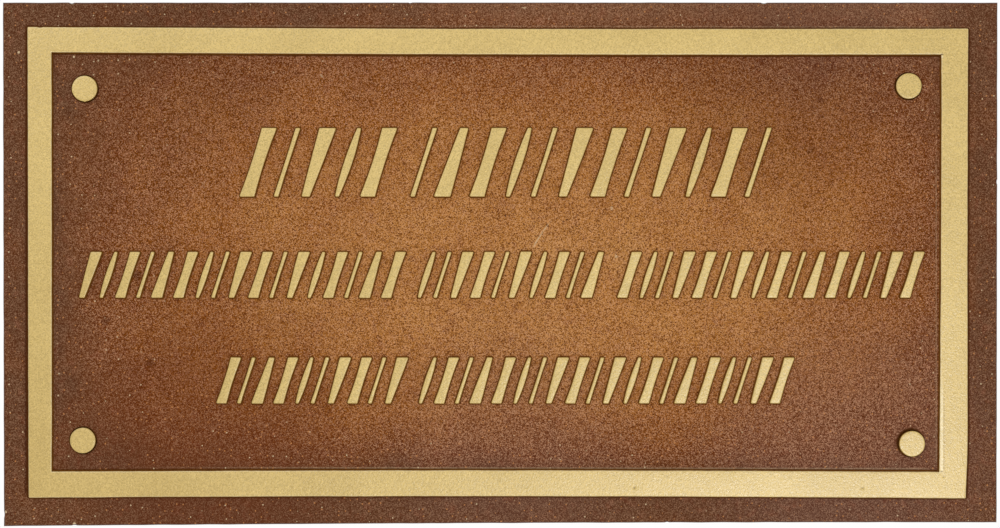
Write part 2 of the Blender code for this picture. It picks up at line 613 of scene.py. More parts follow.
@dataclass(frozen=True)
class StrokeRow:
    """A row of leaning strokes that stand in for words and are not letters.

    Attributes:
        height: The strokes' height.
        side_space: The free space at each end of the row.
        shift: How far the row sits to the right of the middle.
        space_above: The gap to the row above it.
        words: How many strokes stand in for each word.
        word_gap: The gap between two words.
        broad: The width of a broad stroke.
        fine: The width of a fine stroke.
        first_stroke: Where in the order of strokes the row starts.
    """

    height: float
    side_space: float
    shift: float
    space_above: float
    words: tuple[int, ...]
    word_gap: float
    broad: float
    fine: float
    first_stroke: int

    def strokes(self) -> Iterator[Stroke]:
        """Gives the endless order of strokes.

        Returns:
            One stroke after another.
        """
        flare, head, tip = 1.18, 1.3, 0.65
        broad = Stroke(flare * self.broad, self.broad, flare * self.broad)
        fine = Stroke(flare * self.fine, self.fine, flare * self.fine)
        leaf = Stroke(self.fine, (self.fine + self.broad) / 2, self.fine)
        nail = Stroke(tip * self.broad, self.broad, head * self.broad)
        spike = Stroke(head * self.broad, self.broad, tip * self.broad)
        order = [broad, fine, nail, leaf, broad, fine, spike, broad, leaf, fine, nail]
        start = self.first_stroke % len(order)
        return itertools.cycle(order[start:] + order[:start])


@dataclass
class StrokeBlock:
    """The three rows of strokes, in the places of the inscription's rows."""

    field_width: float
    centre: Vector
    lean: float = math.radians(18)
    spacing: float = 1.3 * MM
    # widths of the painted shadow beside the strokes' feet
    foot_shade: FootShade = FootShade(0.08 * MM, 0.01 * MM, 0.06 * MM, 0.02 * MM)
    rows: tuple[StrokeRow, ...] = (
        StrokeRow(
            height=26.3 * MM,
            side_space=68.5 * MM,
            shift=0.5 * MM,
            space_above=0,
            words=(5, 12),
            word_gap=13.5 * MM,
            broad=4.8 * MM,
            fine=1.5 * MM,
            first_stroke=0,
        ),
        StrokeRow(
            height=17.6 * MM,
            side_space=7.8 * MM,
            shift=-1.5 * MM,
            space_above=21.2 * MM,
            words=(17, 10, 16),
            word_gap=9.6 * MM,
            broad=3.3 * MM,
            fine=1.2 * MM,
            first_stroke=2,
        ),
        StrokeRow(
            height=17.6 * MM,
            side_space=59.6 * MM,
            shift=0.4 * MM,
            space_above=22.9 * MM,
            words=(10, 20),
            word_gap=9.2 * MM,
            broad=3.3 * MM,
            fine=1.2 * MM,
            first_stroke=4,
        ),
    )

    def feet(self) -> list[float]:
        """Works out the height of each row's foot.

        Returns:
            The heights, from the top row down.
        """
        up = self.centre.y + sum(row.height + row.space_above for row in self.rows) / 2
        found = []
        for row in self.rows:
            up -= row.space_above + row.height
            found.append(up)
        return found

    def row_left(self, row: StrokeRow) -> float:
        """Where a row starts."""
        return self.centre.x + row.shift - (self.field_width - 2 * row.side_space) / 2

    def outline(
        self, row: StrokeRow, stroke: Stroke, left: float, foot: float, grow: float
    ) -> list[Vector]:
        """Draws one stroke.

        Args:
            row: The row that it is in.
            stroke: Its widths.
            left: Where its room starts.
            foot: The height of its foot.
            grow: How much it is widened on every side.

        Returns:
            Its points, anticlockwise.
        """
        right_side, left_side = [], []
        reach = grow / math.cos(self.lean)
        count = round(row.height / self.spacing)
        for step in range(count + 1):
            share = step / count
            height = share * (row.height + 2 * grow) - grow
            middle = left + stroke.width() / 2 + height * math.tan(self.lean)
            half = stroke.half_width(2 * share - 1) + reach
            right_side.append(Vector((middle + half, foot + height)))
            left_side.append(Vector((middle - half, foot + height)))
        return right_side + left_side[::-1]

    def add(self, sheet: ReliefSheet, relief: Relief, stray: Callable[[Vector], Vector]) -> int:
        """Adds every stroke to the sheet.

        Args:
            sheet: The sheet.
            relief: The walls' shape.
            stray: How far a place strays from the true outline.

        Returns:
            How many strokes there are.
        """
        count = 0
        for row, foot in zip(self.rows, self.feet(), strict=True):
            strokes = row.strokes()
            words = [list(itertools.islice(strokes, length)) for length in row.words]
            taken = sum(stroke.width() for word in words for stroke in word)
            taken += row.word_gap * (len(words) - 1) + row.height * math.tan(self.lean)
            gaps = sum(len(word) - 1 for word in words)
            space = (self.field_width - 2 * row.side_space - taken) / gaps
            left = self.row_left(row)
            for word in words:
                for stroke in word:
                    outline = self.outline(row, stroke, left, foot, -relief.core)
                    relief.add(sheet, raised_edge(outline), Region.STROKE, self.foot_shade, stray=stray)
                    left += stroke.width() + space
                    count += 1
                left += row.word_gap - space
        return count

    def near(self, place: Vector, margin: float) -> bool:
        """Tells whether a place is in or near a row.

        Args:
            place: The place.
            margin: How near still counts.

        Returns:
            True if it is.
        """
        for row, foot in zip(self.rows, self.feet(), strict=True):
            left = self.row_left(row)
            right = left + self.field_width - 2 * row.side_space
            beside = left - margin < place.x < right + margin
            if beside and foot - margin < place.y < foot + row.height + margin:
                return True
        return False


@dataclass
class Band:
    """The raised border band and the sunk field inside it."""

    centre: Vector
    half: Vector
    field_centre: Vector
    field_half: Vector
    spacing: float = 0.8 * MM
    # widths of the painted shadow beside the band's outer and inner walls
    outer_foot_shade: FootShade = FootShade(1.0 * MM, 0.8 * MM, 0.25 * MM, 0.2 * MM)
    inner_foot_shade: FootShade = FootShade(0.06 * MM, 0.02 * MM, 0.4 * MM, 0.5 * MM)
    outer_drift: Drift = Drift(
        left=(-0.3, -0.1, 0.1),
        right=(0.2, -0.1, 0.15),
        top=(0.4, -0.35, -0.3),
        bottom=(0, 0.6, -0.26),
    )
    inner_drift: Drift = Drift(
        left=(-0.1, 0, 0),
        right=(0.1, -0.1, -0.8),
        top=(0.65, -0.15, -0.2),
        bottom=(-0.17, 0.33, -0.3),
    )
    nicks: tuple[Nick, ...] = (
        Nick((-176.0, 90.0), (0, 1), 0.5, 0.35),
        Nick((179.0, -92.0), (1, 0), 15.0, 0.9),
    )
    filed_width: float = 0.55 * MM
    filed_top: float = -20 * MM

    def add(self, sheet: ReliefSheet, relief: Relief, tremble: Callable[[Vector], Vector]) -> None:
        """Adds the band's outer and inner walls to the sheet.

        Args:
            sheet: The sheet.
            relief: The walls' shape.
            tremble: The small unevenness of a hand-finished edge.
        """
        inset = Vector((relief.core, relief.core))
        outer = walk(rectangle(self.centre, self.half - inset), self.spacing)
        inner = walk(rectangle(self.field_centre, self.field_half + inset), self.spacing)

        def outer_stray(place: Vector) -> Vector:
            """How far the outer edge strays."""
            nicked = sum((nick.at(place) for nick in self.nicks), Vector((0, 0)))
            return tremble(place) + self.outer_drift.at(place, self.centre, self.half) + nicked

        def inner_stray(place: Vector) -> Vector:
            """How far the inner edge strays."""
            return tremble(place) + self.inner_drift.at(place, self.field_centre, self.field_half)

        relief.add(sheet, raised_edge(outer), Region.BAND, self.outer_foot_shade, stray=outer_stray)
        sunk = sunk_edge(inner, self.field_centre, self.field_half + inset)
        relief.add(sheet, sunk, Region.BAND, self.inner_foot_shade, True, inner_stray, self.filed)

    def filed(self, point: EdgePoint, station: Station) -> float:
        """Widens the inner edge of the right leg to a filed slope that grows towards its foot.

        Args:
            point: A point of the inner outline.
            station: The line that runs through it.

        Returns:
            How much further into the field the line runs, below zero where it is held back.
        """
        place = point.place
        on_right = place.x > self.field_centre.x + self.field_half.x - 1 * MM
        if not on_right or station.arris or station.below:
            return 0
        share = (self.filed_top - place.y) / (self.filed_top - self.field_centre.y + self.field_half.y)
        return -self.filed_width * min(max(share, 0), 1)

    def near(self, place: Vector, margin: float) -> bool:
        """Tells whether a place is on or near the band.

        Args:
            place: The place.
            margin: How near still counts.

        Returns:
            True if it is.
        """
        outside = place - self.centre
        inside = place - self.field_centre
        outer, field = self.half, self.field_half
        in_outer = abs(outside.x) < outer.x + margin and abs(outside.y) < outer.y + margin
        in_field = abs(inside.x) < field.x - margin and abs(inside.y) < field.y - margin
        return in_outer and not in_field


@dataclass
class Socket:
    """The round hole that a screw cover sits in."""

    centre: Vector
    radius: float
    floor_out: float
    # the painted shadow round the hole
    foot_shade: FootShade
    points: int = 72

    def add(self, sheet: ReliefSheet, ground_out: float) -> None:
        """Adds the hole to the sheet.

        Args:
            sheet: The sheet.
            ground_out: The depth of the ground around it.
        """
        turns = [2 * math.pi * step / self.points for step in range(self.points)]
        ways = [Vector((math.cos(turn), math.sin(turn))) for turn in turns]
        # Each ring: its distance outside the hole, its share of the painted shadow's width, its depth, what
        # lies inside it, and its painted-shadow attribute
        lines = (
            (0.14 * MM, 1, ground_out, Region.GROUND, 0),
            (0.06 * MM, 0, ground_out, Region.WALL, 1),
            (0, 0, ground_out - 0.1 * MM, Region.WALL, 1),
            (-0.05 * MM, 0, self.floor_out, Region.WALL, 1),
        )
        for reach, spread, out, region, foot_shade in lines:
            places = [
                self.centre + way * self.radius + self.foot_shade.shift(way, reach, spread) for way in ways
            ]
            sheet.add_loop(places, out, region, foot_shade)

    def near(self, place: Vector, margin: float) -> bool:
        """Tells whether a place is in or near the hole."""
        return (place - self.centre).length < self.radius + margin


@dataclass
class Casting:
    """The whole casting as one mesh: blank, band, field, strokes and sockets."""

    blank: Blank
    band: Band
    strokes: StrokeBlock
    sockets: list[Socket]
    relief: Relief
    seed: int = 11
    dents: tuple[Dent, ...] = (
        Dent(51.5, -86.1, 0.7, 0.16),
        Dent(138.9, -86.1, 0.6, 0.14),
        Dent(170.0, -81.9, 0.5, 0.1),
        Dent(-96.0, 85.6, 0.5, 0.06),
        Dent(-177.4, -31.0, 0.6, 0.07),
    )

    @staticmethod
    def tremble(place: Vector) -> Vector:
        """Works out how unevenly a hand-finished edge runs.

        Args:
            place: A place on the front.

        Returns:
            The move, across and up.
        """
        spot = Vector((place.x, place.y, 0))
        close, wide = spot / (2.6 * MM), spot / (17 * MM)
        far = Vector((31.7, 11.3, 5.1))  # so that the two ways tremble apart
        across = noise.noise(close) * 0.05 + noise.noise(wide) * 0.1
        up = noise.noise(close + far) * 0.05 + noise.noise(wide + far) * 0.1
        return Vector((across, up)) * MM

    def swell(self, place: Vector) -> float:
        """Works out how far the cast surface rises or sinks at a place.

        Args:
            place: A place on the front.

        Returns:
            The rise.
        """
        spot = Vector((place.x, place.y, 0))
        rise = noise.noise(spot / (38 * MM)) * 0.05 + noise.noise(spot / (9 * MM)) * 0.015
        for dent in self.dents:
            rise -= dent.depth * math.exp(-dent.away(place) ** 2)
        return rise * MM

    def sprinkle(self, sheet: ReliefSheet) -> None:
        """Adds loose points to the open ground, along the band and round the dents.

        Args:
            sheet: The sheet.
        """
        draw = random.Random(self.seed)
        half = self.blank.half()
        grid = self.blank.grid
        columns, rows = (int(size / grid) for size in half)
        for column, row in itertools.product(range(-columns, columns + 1), range(-rows, rows + 1)):
            place = Vector((column + draw.uniform(-0.3, 0.3), row + draw.uniform(-0.3, 0.3))) * grid
            blocked = (
                abs(place.x) > half.x - 2.5 * MM
                or abs(place.y) > half.y - 2.8 * MM
                or self.band.near(place, 2.4 * MM)
                or self.strokes.near(place, 2 * MM)
                or any(socket.near(place, 2.6 * MM) for socket in self.sockets)
            )
            if not blocked:
                sheet.add_point(place)
        middle = (self.band.half + self.band.field_half) / 2
        for place in walk(rectangle((self.band.centre + self.band.field_centre) / 2, middle), grid):
            sheet.add_point(place + Vector((draw.uniform(-2, 2), draw.uniform(-2, 2))) * MM)
        for dent in self.dents:
            sheet.add_point(dent.centre())
            for ring, turn in itertools.product((0.4, 0.8, 1.3, 1.9), range(10)):
                angle = math.radians(36 * turn + 18 * ring)
                spoke = Vector((math.cos(angle), math.sin(angle)))
                sheet.add_point(dent.centre() + spoke * ring * dent.radius * MM)

    def mesh(self) -> bpy.types.Mesh:
        """Makes the whole mesh.

        Returns:
            The mesh, with regions as material slots and the two attributes.
        """
        sheet = ReliefSheet()
        rim = self.blank.add_front(sheet)
        self.band.add(sheet, self.relief, self.tremble)
        count = self.strokes.add(sheet, self.relief, self.tremble)
        for socket in self.sockets:
            socket.add(sheet, self.relief.ground_out)
        self.sprinkle(sheet)
        LOG.info("front laid out with %d strokes and %d points", count, len(sheet.places))

        shape, by_number = self.raised(sheet)
        self.close(shape, [by_number[number] for number in rim])
        return self.finished(shape)

    def raised(self, sheet: ReliefSheet) -> tuple[bmesh.types.BMesh, dict[int, bmesh.types.BMVert]]:
        """Gives every point of the cut sheet its depth.

        Args:
            sheet: The sheet with all its lines and points.

        Returns:
            The front's shape, and its points by their number on the sheet.
        """
        corners, faces, regions, numbers = sheet.triangles()
        around: list[set[Region]] = [set() for _ in corners]
        for face, region in zip(faces, regions, strict=True):
            for corner in face:
                around[corner].add(region)
        level = {
            Region.GROUND: self.relief.ground_out,
            Region.BAND: self.relief.face_out,
            Region.STROKE: self.relief.face_out,
            Region.WALL: self.relief.ground_out,
        }
        shape = bmesh.new()
        # the painted shadow beside each wall's foot, carried on the points
        foot_shade = shape.verts.layers.float.new(FOOT_SHADE)
        arris = shape.verts.layers.float.new(ARRIS)
        verts, by_number = [], {}
        for place, number, touching in zip(corners, numbers, around, strict=True):
            out = None if number is None else sheet.outs[number]
            if out is None:
                out = level[min(touching, key=lambda region: region.value, default=Region.GROUND)]
            vert = shape.verts.new((place.x, -(out + self.swell(place)), place.y))
            if number is not None:
                vert[foot_shade] = sheet.foot_shades[number]
                vert[arris] = sheet.arrises[number]
                by_number[number] = vert
            verts.append(vert)
        for face, region in zip(faces, regions, strict=True):
            made = shape.faces.new([verts[corner] for corner in face])
            made.material_index = region.value
        return shape, by_number

    def close(self, shape: bmesh.types.BMesh, rim: list[bmesh.types.BMVert]) -> None:
        """Adds the plate's sides and its back.

        Args:
            shape: The front so far.
            rim: The points of its outline, in order.
        """
        ring = rim
        for places in self.blank.skirt():
            following = [shape.verts.new((place.x, -place.y, place.z)) for place in places]
            for index in range(len(ring)):
                other = (index + 1) % len(ring)
                side = shape.faces.new((ring[index], following[index], following[other], ring[other]))
                side.material_index = Region.SIDE.value
            ring = following
        flat = [Vector((vert.co.x, vert.co.z)) / MM for vert in ring]
        half = self.blank.half() / MM
        inner = [
            Vector((across, up))
            for across in range(-int(half.x) + 8, int(half.x) - 7, 12)
            for up in range(-int(half.y) + 8, int(half.y) - 7, 12)
        ]
        cut = geometry.delaunay_2d_cdt([*flat, *inner], [], [list(range(len(flat)))], 1, 1e-5, True)
        corners, _, faces, origins, _, inside = cut
        verts = []
        for corner, origin in zip(corners, origins, strict=True):
            on_rim = origin and origin[0] < len(ring)
            spot = (corner.x * MM, 0, corner.y * MM)
            verts.append(ring[origin[0]] if on_rim else shape.verts.new(spot))
        for face, loops in zip(faces, inside, strict=True):
            if loops:
                made = shape.faces.new([verts[corner] for corner in face])
                made.material_index = Region.BACK.value

    def finished(self, shape: bmesh.types.BMesh) -> bpy.types.Mesh:
        """Turns the shape into a mesh with its faces pointing out.

        Args:
            shape: The closed shape.

        Returns:
            The mesh.
        """
        bmesh.ops.recalc_face_normals(shape, faces=shape.faces)
        layer = shape.loops.layers.uv.new(BAKE_MAP)
        layout = MapLayout(self.blank.width, self.blank.height, self.blank.thickness)
        for face in shape.faces:
            for loop in face.loops:
                loop[layer].uv = layout.spot(loop.vert.co, face)
        data = bpy.data.meshes.new("plaque_casting")
        shape.to_mesh(data)
        shape.free()
        data.shade_smooth()
        data.set_sharp_from_angle(angle=SHARP_FROM)
        return data

    def build(self, finishes: dict[Region, bpy.types.Material]) -> bpy.types.Object:
        """Makes the casting and dresses it.

        Args:
            finishes: The finish of each region.

        Returns:
            The casting.
        """
        data = self.mesh()
        for region in Region:
            data.materials.append(finishes[region])
        made = bpy.data.objects.new("plaque_casting", data)
        bpy.context.scene.collection.objects.link(made)
        weighted = made.modifiers.new("even shading", "WEIGHTED_NORMAL")
        weighted.keep_sharp = True
        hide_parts(PLATE_NODE)
        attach(made, BODY)
        return made


@dataclass(frozen=True)
class MapLayout:
    """Where each side of the casting lies on its flat map: the front at the foot, across the whole
    width, the four sides in strips above it, and the back, made smaller, above those."""

    width: float
    height: float
    thickness: float
    margin: float = 2 * MM
    back_scale: float = 0.72

    def spot(self, place: Vector, face: bmesh.types.BMFace) -> Vector:
        """Works out a corner's place on the map.

        Args:
            place: The corner in space.
            face: The face that it belongs to.

        Returns:
            The place on the map, 0 to 1 both ways.
        """
        scale = 1 / (self.width + 2 * self.margin)
        across, out, up = place.x + self.width / 2, -place.y, place.z + self.height / 2
        strip = self.thickness + self.margin
        base = self.height + 2 * self.margin
        region = Region(face.material_index)
        if region == Region.BACK:
            back = Vector((across, up)) * self.back_scale + Vector((self.margin, base + 4 * strip))
            return back * scale
        if region != Region.SIDE:
            return Vector((across + self.margin, up + 1.5 * self.margin)) * scale
        normal = face.normal
        if abs(normal.z) > abs(normal.x):
            row = 0 if normal.z > 0 else 1
            return Vector((across + self.margin, base + row * strip + out)) * scale
        row = 2 if normal.x > 0 else 3
        return Vector((up + 1.5 * self.margin, base + row * strip + out)) * scale


@dataclass
class ScrewCover:
    """One round, flat screw cover."""

    piece: str
    node: str
    edge_round: float = 0.3 * MM
    seat_bevel: float = 0.15 * MM
    round_steps: int = 4
    segments: int = 96
    dish: float = 0.008 * MM
    wobble_depth: float = 0.06 * MM
    wobble_pace: float = 1.7
    spur_angle: float | None = None
    spur_spread: float = math.radians(3.5)
    spur_reach: float = 0.22 * MM

    def place(self) -> Vector:
        """Its centre on the front, from the frame."""
        low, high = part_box(self.node)
        return Vector(((low.x + high.x) / 2, (low.z + high.z) / 2))

    def radius(self) -> float:
        """Its radius, from the frame."""
        low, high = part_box(self.node)
        return (high.x - low.x) / 2

    def outs(self) -> tuple[float, float]:
        """The depths of its seat and its face, from the frame."""
        low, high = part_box(self.node)
        return -high.y, -low.y

    def profile(self) -> list[tuple[float, float, Region]]:
        """Draws half of its section.

        Returns:
            Radius, depth and region for each ring, from the middle of the seat to that of the face.
        """
        seat, face = self.outs()
        radius, soft, bevel = self.radius(), self.edge_round, self.seat_bevel
        rings = [(radius * 0.5, seat, Region.WALL), (radius - bevel, seat, Region.WALL)]
        rings += [(radius, seat + bevel, Region.WALL), (radius, face - soft, Region.WALL)]
        for step in range(1, self.round_steps + 1):
            turn = math.radians(90 * step / self.round_steps)
            reach = radius - soft * (1 - math.cos(turn))
            rings.append((reach, face - soft * (1 - math.sin(turn)), Region.BAND))
        rings.append((radius * 0.8, face - self.dish * 0.4, Region.BAND))
        rings.append((radius * 0.4, face - self.dish, Region.BAND))
        return rings

    def wobble(self, way: Vector, centre: Vector) -> float:
        """Works out how far the uneven edge stands out, with the spur that one of the covers has.

        Args:
            way: The way out from the centre.
            centre: The centre, so that no two covers have the same edge.

        Returns:
            The distance.
        """
        spot = Vector((way.x, way.y, centre.x / MM))
        out = noise.noise(spot * self.wobble_pace) * self.wobble_depth
        if self.spur_angle is not None:
            gap = (math.atan2(way.y, way.x) - self.spur_angle + math.pi) % (2 * math.pi) - math.pi
            out += self.spur_reach * math.exp(-((gap / self.spur_spread) ** 2))
        return out

    def turned(self, shape: bmesh.types.BMesh) -> list[list[bmesh.types.BMVert]]:
        """Turns the section round.

        Args:
            shape: Where the points go.

        Returns:
            The points of each ring.
        """
        arris = shape.verts.layers.float.new(ARRIS)
        shape.verts.layers.float.new(FOOT_SHADE)
        face = self.outs()[1]
        arris_out, arris_half = face - 0.3 * self.edge_round, 0.25 * self.edge_round
        centre, outer = self.place(), self.radius()
        turns = [2 * math.pi * step / self.segments for step in range(self.segments)]
        ways = [Vector((math.cos(turn), math.sin(turn))) for turn in turns]
        spokes = [way * (1 + self.wobble(way, centre) / outer) for way in ways]
        rings = []
        for radius, out, region in self.profile():
            on_arris = region == Region.BAND and abs(out - arris_out) < arris_half
            ring = []
            for spoke in spokes:
                spot = centre + spoke * radius
                vert = shape.verts.new((spot.x, -out, spot.y))
                vert[arris] = float(on_arris)
                ring.append(vert)
            rings.append(ring)
        return rings

    def build(self, wall: bpy.types.Material, gold: bpy.types.Material) -> bpy.types.Object:
        """Makes the cover and dresses it.

        Args:
            wall: The finish of its side.
            gold: The finish of its face.

        Returns:
            The cover.
        """
        shape = bmesh.new()
        centre = self.place()
        seat, face = self.outs()
        rings = self.turned(shape)
        regions = [region for _, _, region in self.profile()]
        for region, ring, following in zip(regions[1:], rings, rings[1:], strict=False):
            for index in range(self.segments):
                other = (index + 1) % self.segments
                side = shape.faces.new((ring[index], ring[other], following[other], following[index]))
                side.material_index = 0 if region == Region.WALL else 1
        for ring, depth, slot in ((rings[0], seat, 0), (rings[-1], face - self.dish, 1)):
            middle = shape.verts.new((centre.x, -depth, centre.y))
            for index in range(self.segments):
                other = (index + 1) % self.segments
                shape.faces.new((middle, ring[index], ring[other])).material_index = slot
        bmesh.ops.recalc_face_normals(shape, faces=shape.faces)
        data = bpy.data.meshes.new(self.piece)
        shape.to_mesh(data)
        shape.free()
        data.shade_smooth()
        data.set_sharp_from_angle(angle=SHARP_FROM)
        data.materials.append(wall)
        data.materials.append(gold)
        made = bpy.data.objects.new(self.piece, data)
        bpy.context.scene.collection.objects.link(made)
        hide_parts(self.node)
        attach(made, BODY)
        return made


Value = Any  # a socket to link, or a plain value for a socket


class Wiring:
    """Lays shader nodes in a tree and joins their sockets."""

    def __init__(self, tree: bpy.types.NodeTree) -> None:
        """Starts on a tree."""
        self.tree = tree

    def put(self, socket: bpy.types.NodeSocket, value: Value) -> None:
        """Links a socket, or sets a plain value on it.

        Args:
            socket: The socket that takes the value.
            value: The socket to link, or the plain value.
        """
        if isinstance(value, bpy.types.NodeSocket):
            self.tree.links.new(value, socket)
        elif socket.type == "RGBA":
            socket.default_value = (*value, 1) if len(value) == 3 else value
        else:
            socket.default_value = value

    def add(
        self, kind: str, inputs: dict[str | int, Value] | None = None, **settings: Any
    ) -> bpy.types.Node:
        """Lays one node.

        Args:
            kind: Its type.
            inputs: Values or sockets by input name or number.
            **settings: The node's own settings.

        Returns:
            The node.
        """
        node = self.tree.nodes.new(kind)
        for name, value in settings.items():
            setattr(node, name, value)
        for key, value in (inputs or {}).items():
            self.put(node.inputs[key], value)
        return node

    def math(
        self, operation: str, first: Value, second: Value = 0.0, clamp: bool = False
    ) -> bpy.types.NodeSocket:
        """A calculation on one or two numbers."""
        inputs = {0: first, 1: second}
        return self.add("ShaderNodeMath", inputs, operation=operation, use_clamp=clamp).outputs[0]

    def vector(self, operation: str, first: Value, second: Value = (0, 0, 0)) -> bpy.types.NodeSocket:
        """A calculation on one or two vectors that gives a vector."""
        return self.add("ShaderNodeVectorMath", {0: first, 1: second}, operation=operation).outputs["Vector"]

    def measure(self, operation: str, first: Value, second: Value = (0, 0, 0)) -> bpy.types.NodeSocket:
        """A calculation on one or two vectors that gives a number."""
        return self.add("ShaderNodeVectorMath", {0: first, 1: second}, operation=operation).outputs["Value"]

    def remap(
        self, value: Value, low: Value, high: Value, to_low: Value = 0.0, to_high: Value = 1.0
    ) -> bpy.types.NodeSocket:
        """Maps a range of numbers smoothly onto another one.

        Args:
            value: The number.
            low: Where the range starts.
            high: Where it ends.
            to_low: What its start becomes.
            to_high: What its end becomes.

        Returns:
            The mapped number.
        """
        inputs = {"Value": value, "From Min": low, "From Max": high, "To Min": to_low, "To Max": to_high}
        return self.add("ShaderNodeMapRange", inputs, interpolation_type="SMOOTHSTEP").outputs["Result"]

    def blend(self, share: Value, first: Value, second: Value, mode: str = "MIX") -> bpy.types.NodeSocket:
        """Blends two colours."""
        settings = {"data_type": "RGBA", "blend_type": mode}
        return self.add("ShaderNodeMix", {0: share, 6: first, 7: second}, **settings).outputs[2]

    def shaded(self, colour: Value, factor: Value) -> bpy.types.NodeSocket:
        """Makes a colour darker or lighter by a factor."""
        shade = self.add("ShaderNodeCombineColor", {0: factor, 1: factor, 2: factor}).outputs[0]
        return self.blend(1.0, colour, shade, "MULTIPLY")

    def noise(
        self, place: Value, size: float, detail: float = 2.0, roughness: float = 0.5
    ) -> bpy.types.NodeSocket:
        """Lays cloudy noise.

        Args:
            place: Where it is read.
            size: About how wide its clouds are.
            detail: How many finer layers it has.
            roughness: How strong the finer layers are.

        Returns:
            The noise, 0 to 1.
        """
        scaled = self.vector("DIVIDE", place, (size, size, size))
        inputs = {"Vector": scaled, "Scale": 1.0, "Detail": detail, "Roughness": roughness}
        return self.add("ShaderNodeTexNoise", inputs).outputs["Fac"]

    def cells(self, place: Value, size: float) -> bpy.types.Node:
        """Random cells of about this size."""
        scaled = self.vector("DIVIDE", place, (size, size, size))
        return self.add("ShaderNodeTexVoronoi", {"Vector": scaled, "Scale": 1.0})

    def flat_cells(self, place: Value, size: float) -> bpy.types.Node:
        """Lays random cells that run straight through from front to back.

        Args:
            place: Where they are read.
            size: About how wide they are.

        Returns:
            Their node.
        """
        parts = self.add("ShaderNodeSeparateXYZ", {0: place}).outputs
        flat = self.add("ShaderNodeCombineXYZ", {0: parts[0], 1: parts[2]}).outputs[0]
        inputs = {"Vector": flat, "Scale": 1 / size}
        return self.add("ShaderNodeTexVoronoi", inputs, voronoi_dimensions="2D")

    def attribute(self, name: str) -> bpy.types.NodeSocket:
        """A number that the mesh carries."""
        return self.add("ShaderNodeAttribute", attribute_name=name).outputs["Fac"]

    def place(self) -> bpy.types.NodeSocket:
        """The place on the piece, in millimetres."""
        own = self.add("ShaderNodeTexCoord").outputs["Object"]
        return self.vector("MULTIPLY", own, (1000, 1000, 1000))

    def effect(self, effect: "Effect", **inputs: Value) -> bpy.types.Node:
        """Places a shared effect.

        Args:
            effect: The effect.
            **inputs: Its inputs, by name in small letters.

        Returns:
            The effect's node.
        """
        named = {name.replace("_", " ").title(): value for name, value in inputs.items()}
        node = self.add("ShaderNodeGroup")
        node.node_tree = effect.tree()
        for name, value in named.items():
            self.put(node.inputs[name], value)
        return node


class Effect:
    """A shader node group that is built once and placed in each finish that uses it."""

    name: str = ""
    inputs: dict[str, Any] = {}
    outputs: tuple[str, ...] = ()

    def tree(self) -> bpy.types.NodeTree:
        """Gives the group, and builds it the first time.

        Returns:
            The group.
        """
        made = bpy.data.node_groups.get(self.name)
        if made:
            return made
        made = bpy.data.node_groups.new(self.name, "ShaderNodeTree")
        for name, default in self.inputs.items():
            kind = "NodeSocketVector" if isinstance(default, tuple) else "NodeSocketFloat"
            socket = made.interface.new_socket(name=name, in_out="INPUT", socket_type=kind)
            socket.default_value = default
        for name in self.outputs:
            made.interface.new_socket(name=name, in_out="OUTPUT", socket_type="NodeSocketFloat")
        wiring = Wiring(made)
        given = wiring.add("NodeGroupInput").outputs
        end = wiring.add("NodeGroupOutput")
        for name, value in self.lay(wiring, given).items():
            wiring.put(end.inputs[name], value)
        return made

    def lay(self, wiring: Wiring, given: Any) -> dict[str, bpy.types.NodeSocket]:
        """Lays the group's nodes and gives its outputs by name."""
        raise NotImplementedError


@dataclass(frozen=True)
class Falloff:
    """How the spray falls off towards one side of the field.

    Attributes:
        sign: The way out along the axis, 1 or -1.
        axis: 0 for across or 2 for up.
        end: Where the field ends, in millimetres from the middle.
        loss: How much of the spray is missing there.
        width: How wide the fade is, in millimetres.
    """

    sign: int
    axis: int
    end: float
    loss: float
    width: float


class Airbrush(Effect):
    """A sprayed fade: full in the middle and falling off towards each side of the field."""

    name = "airbrushed fade"
    inputs = {"Place": (0.0, 0.0, 0.0)}
    outputs = ("Fade",)
    sides = (
        Falloff(-1, 0, 172.0, 1.0, 66.0),
        Falloff(1, 0, 169.0, 0.74, 50.0),
        Falloff(1, 2, 80.0, 0.66, 42.0),
        Falloff(-1, 2, 80.0, 0.94, 27.0),
    )

    def lay(self, wiring: Wiring, given: Any) -> dict[str, bpy.types.NodeSocket]:
        """Multiplies the falls towards the four sides.

        Args:
            wiring: Where the nodes go.
            given: The group's inputs.

        Returns:
            The fade, 0 to 1.
        """
        parts = wiring.add("ShaderNodeSeparateXYZ", {0: given["Place"]}).outputs
        fade: Value = 1.0
        for side in self.sides:
            outward = wiring.math("MULTIPLY", parts[side.axis], side.sign)
            inside = wiring.math("SUBTRACT", side.end, outward)
            fall = wiring.math("POWER", math.e, wiring.math("DIVIDE", inside, -side.width))
            kept = wiring.math("SUBTRACT", 1.0, wiring.math("MULTIPLY", fall, side.loss), clamp=True)
            fade = wiring.math("MULTIPLY", fade, kept)
        return {"Fade": fade}


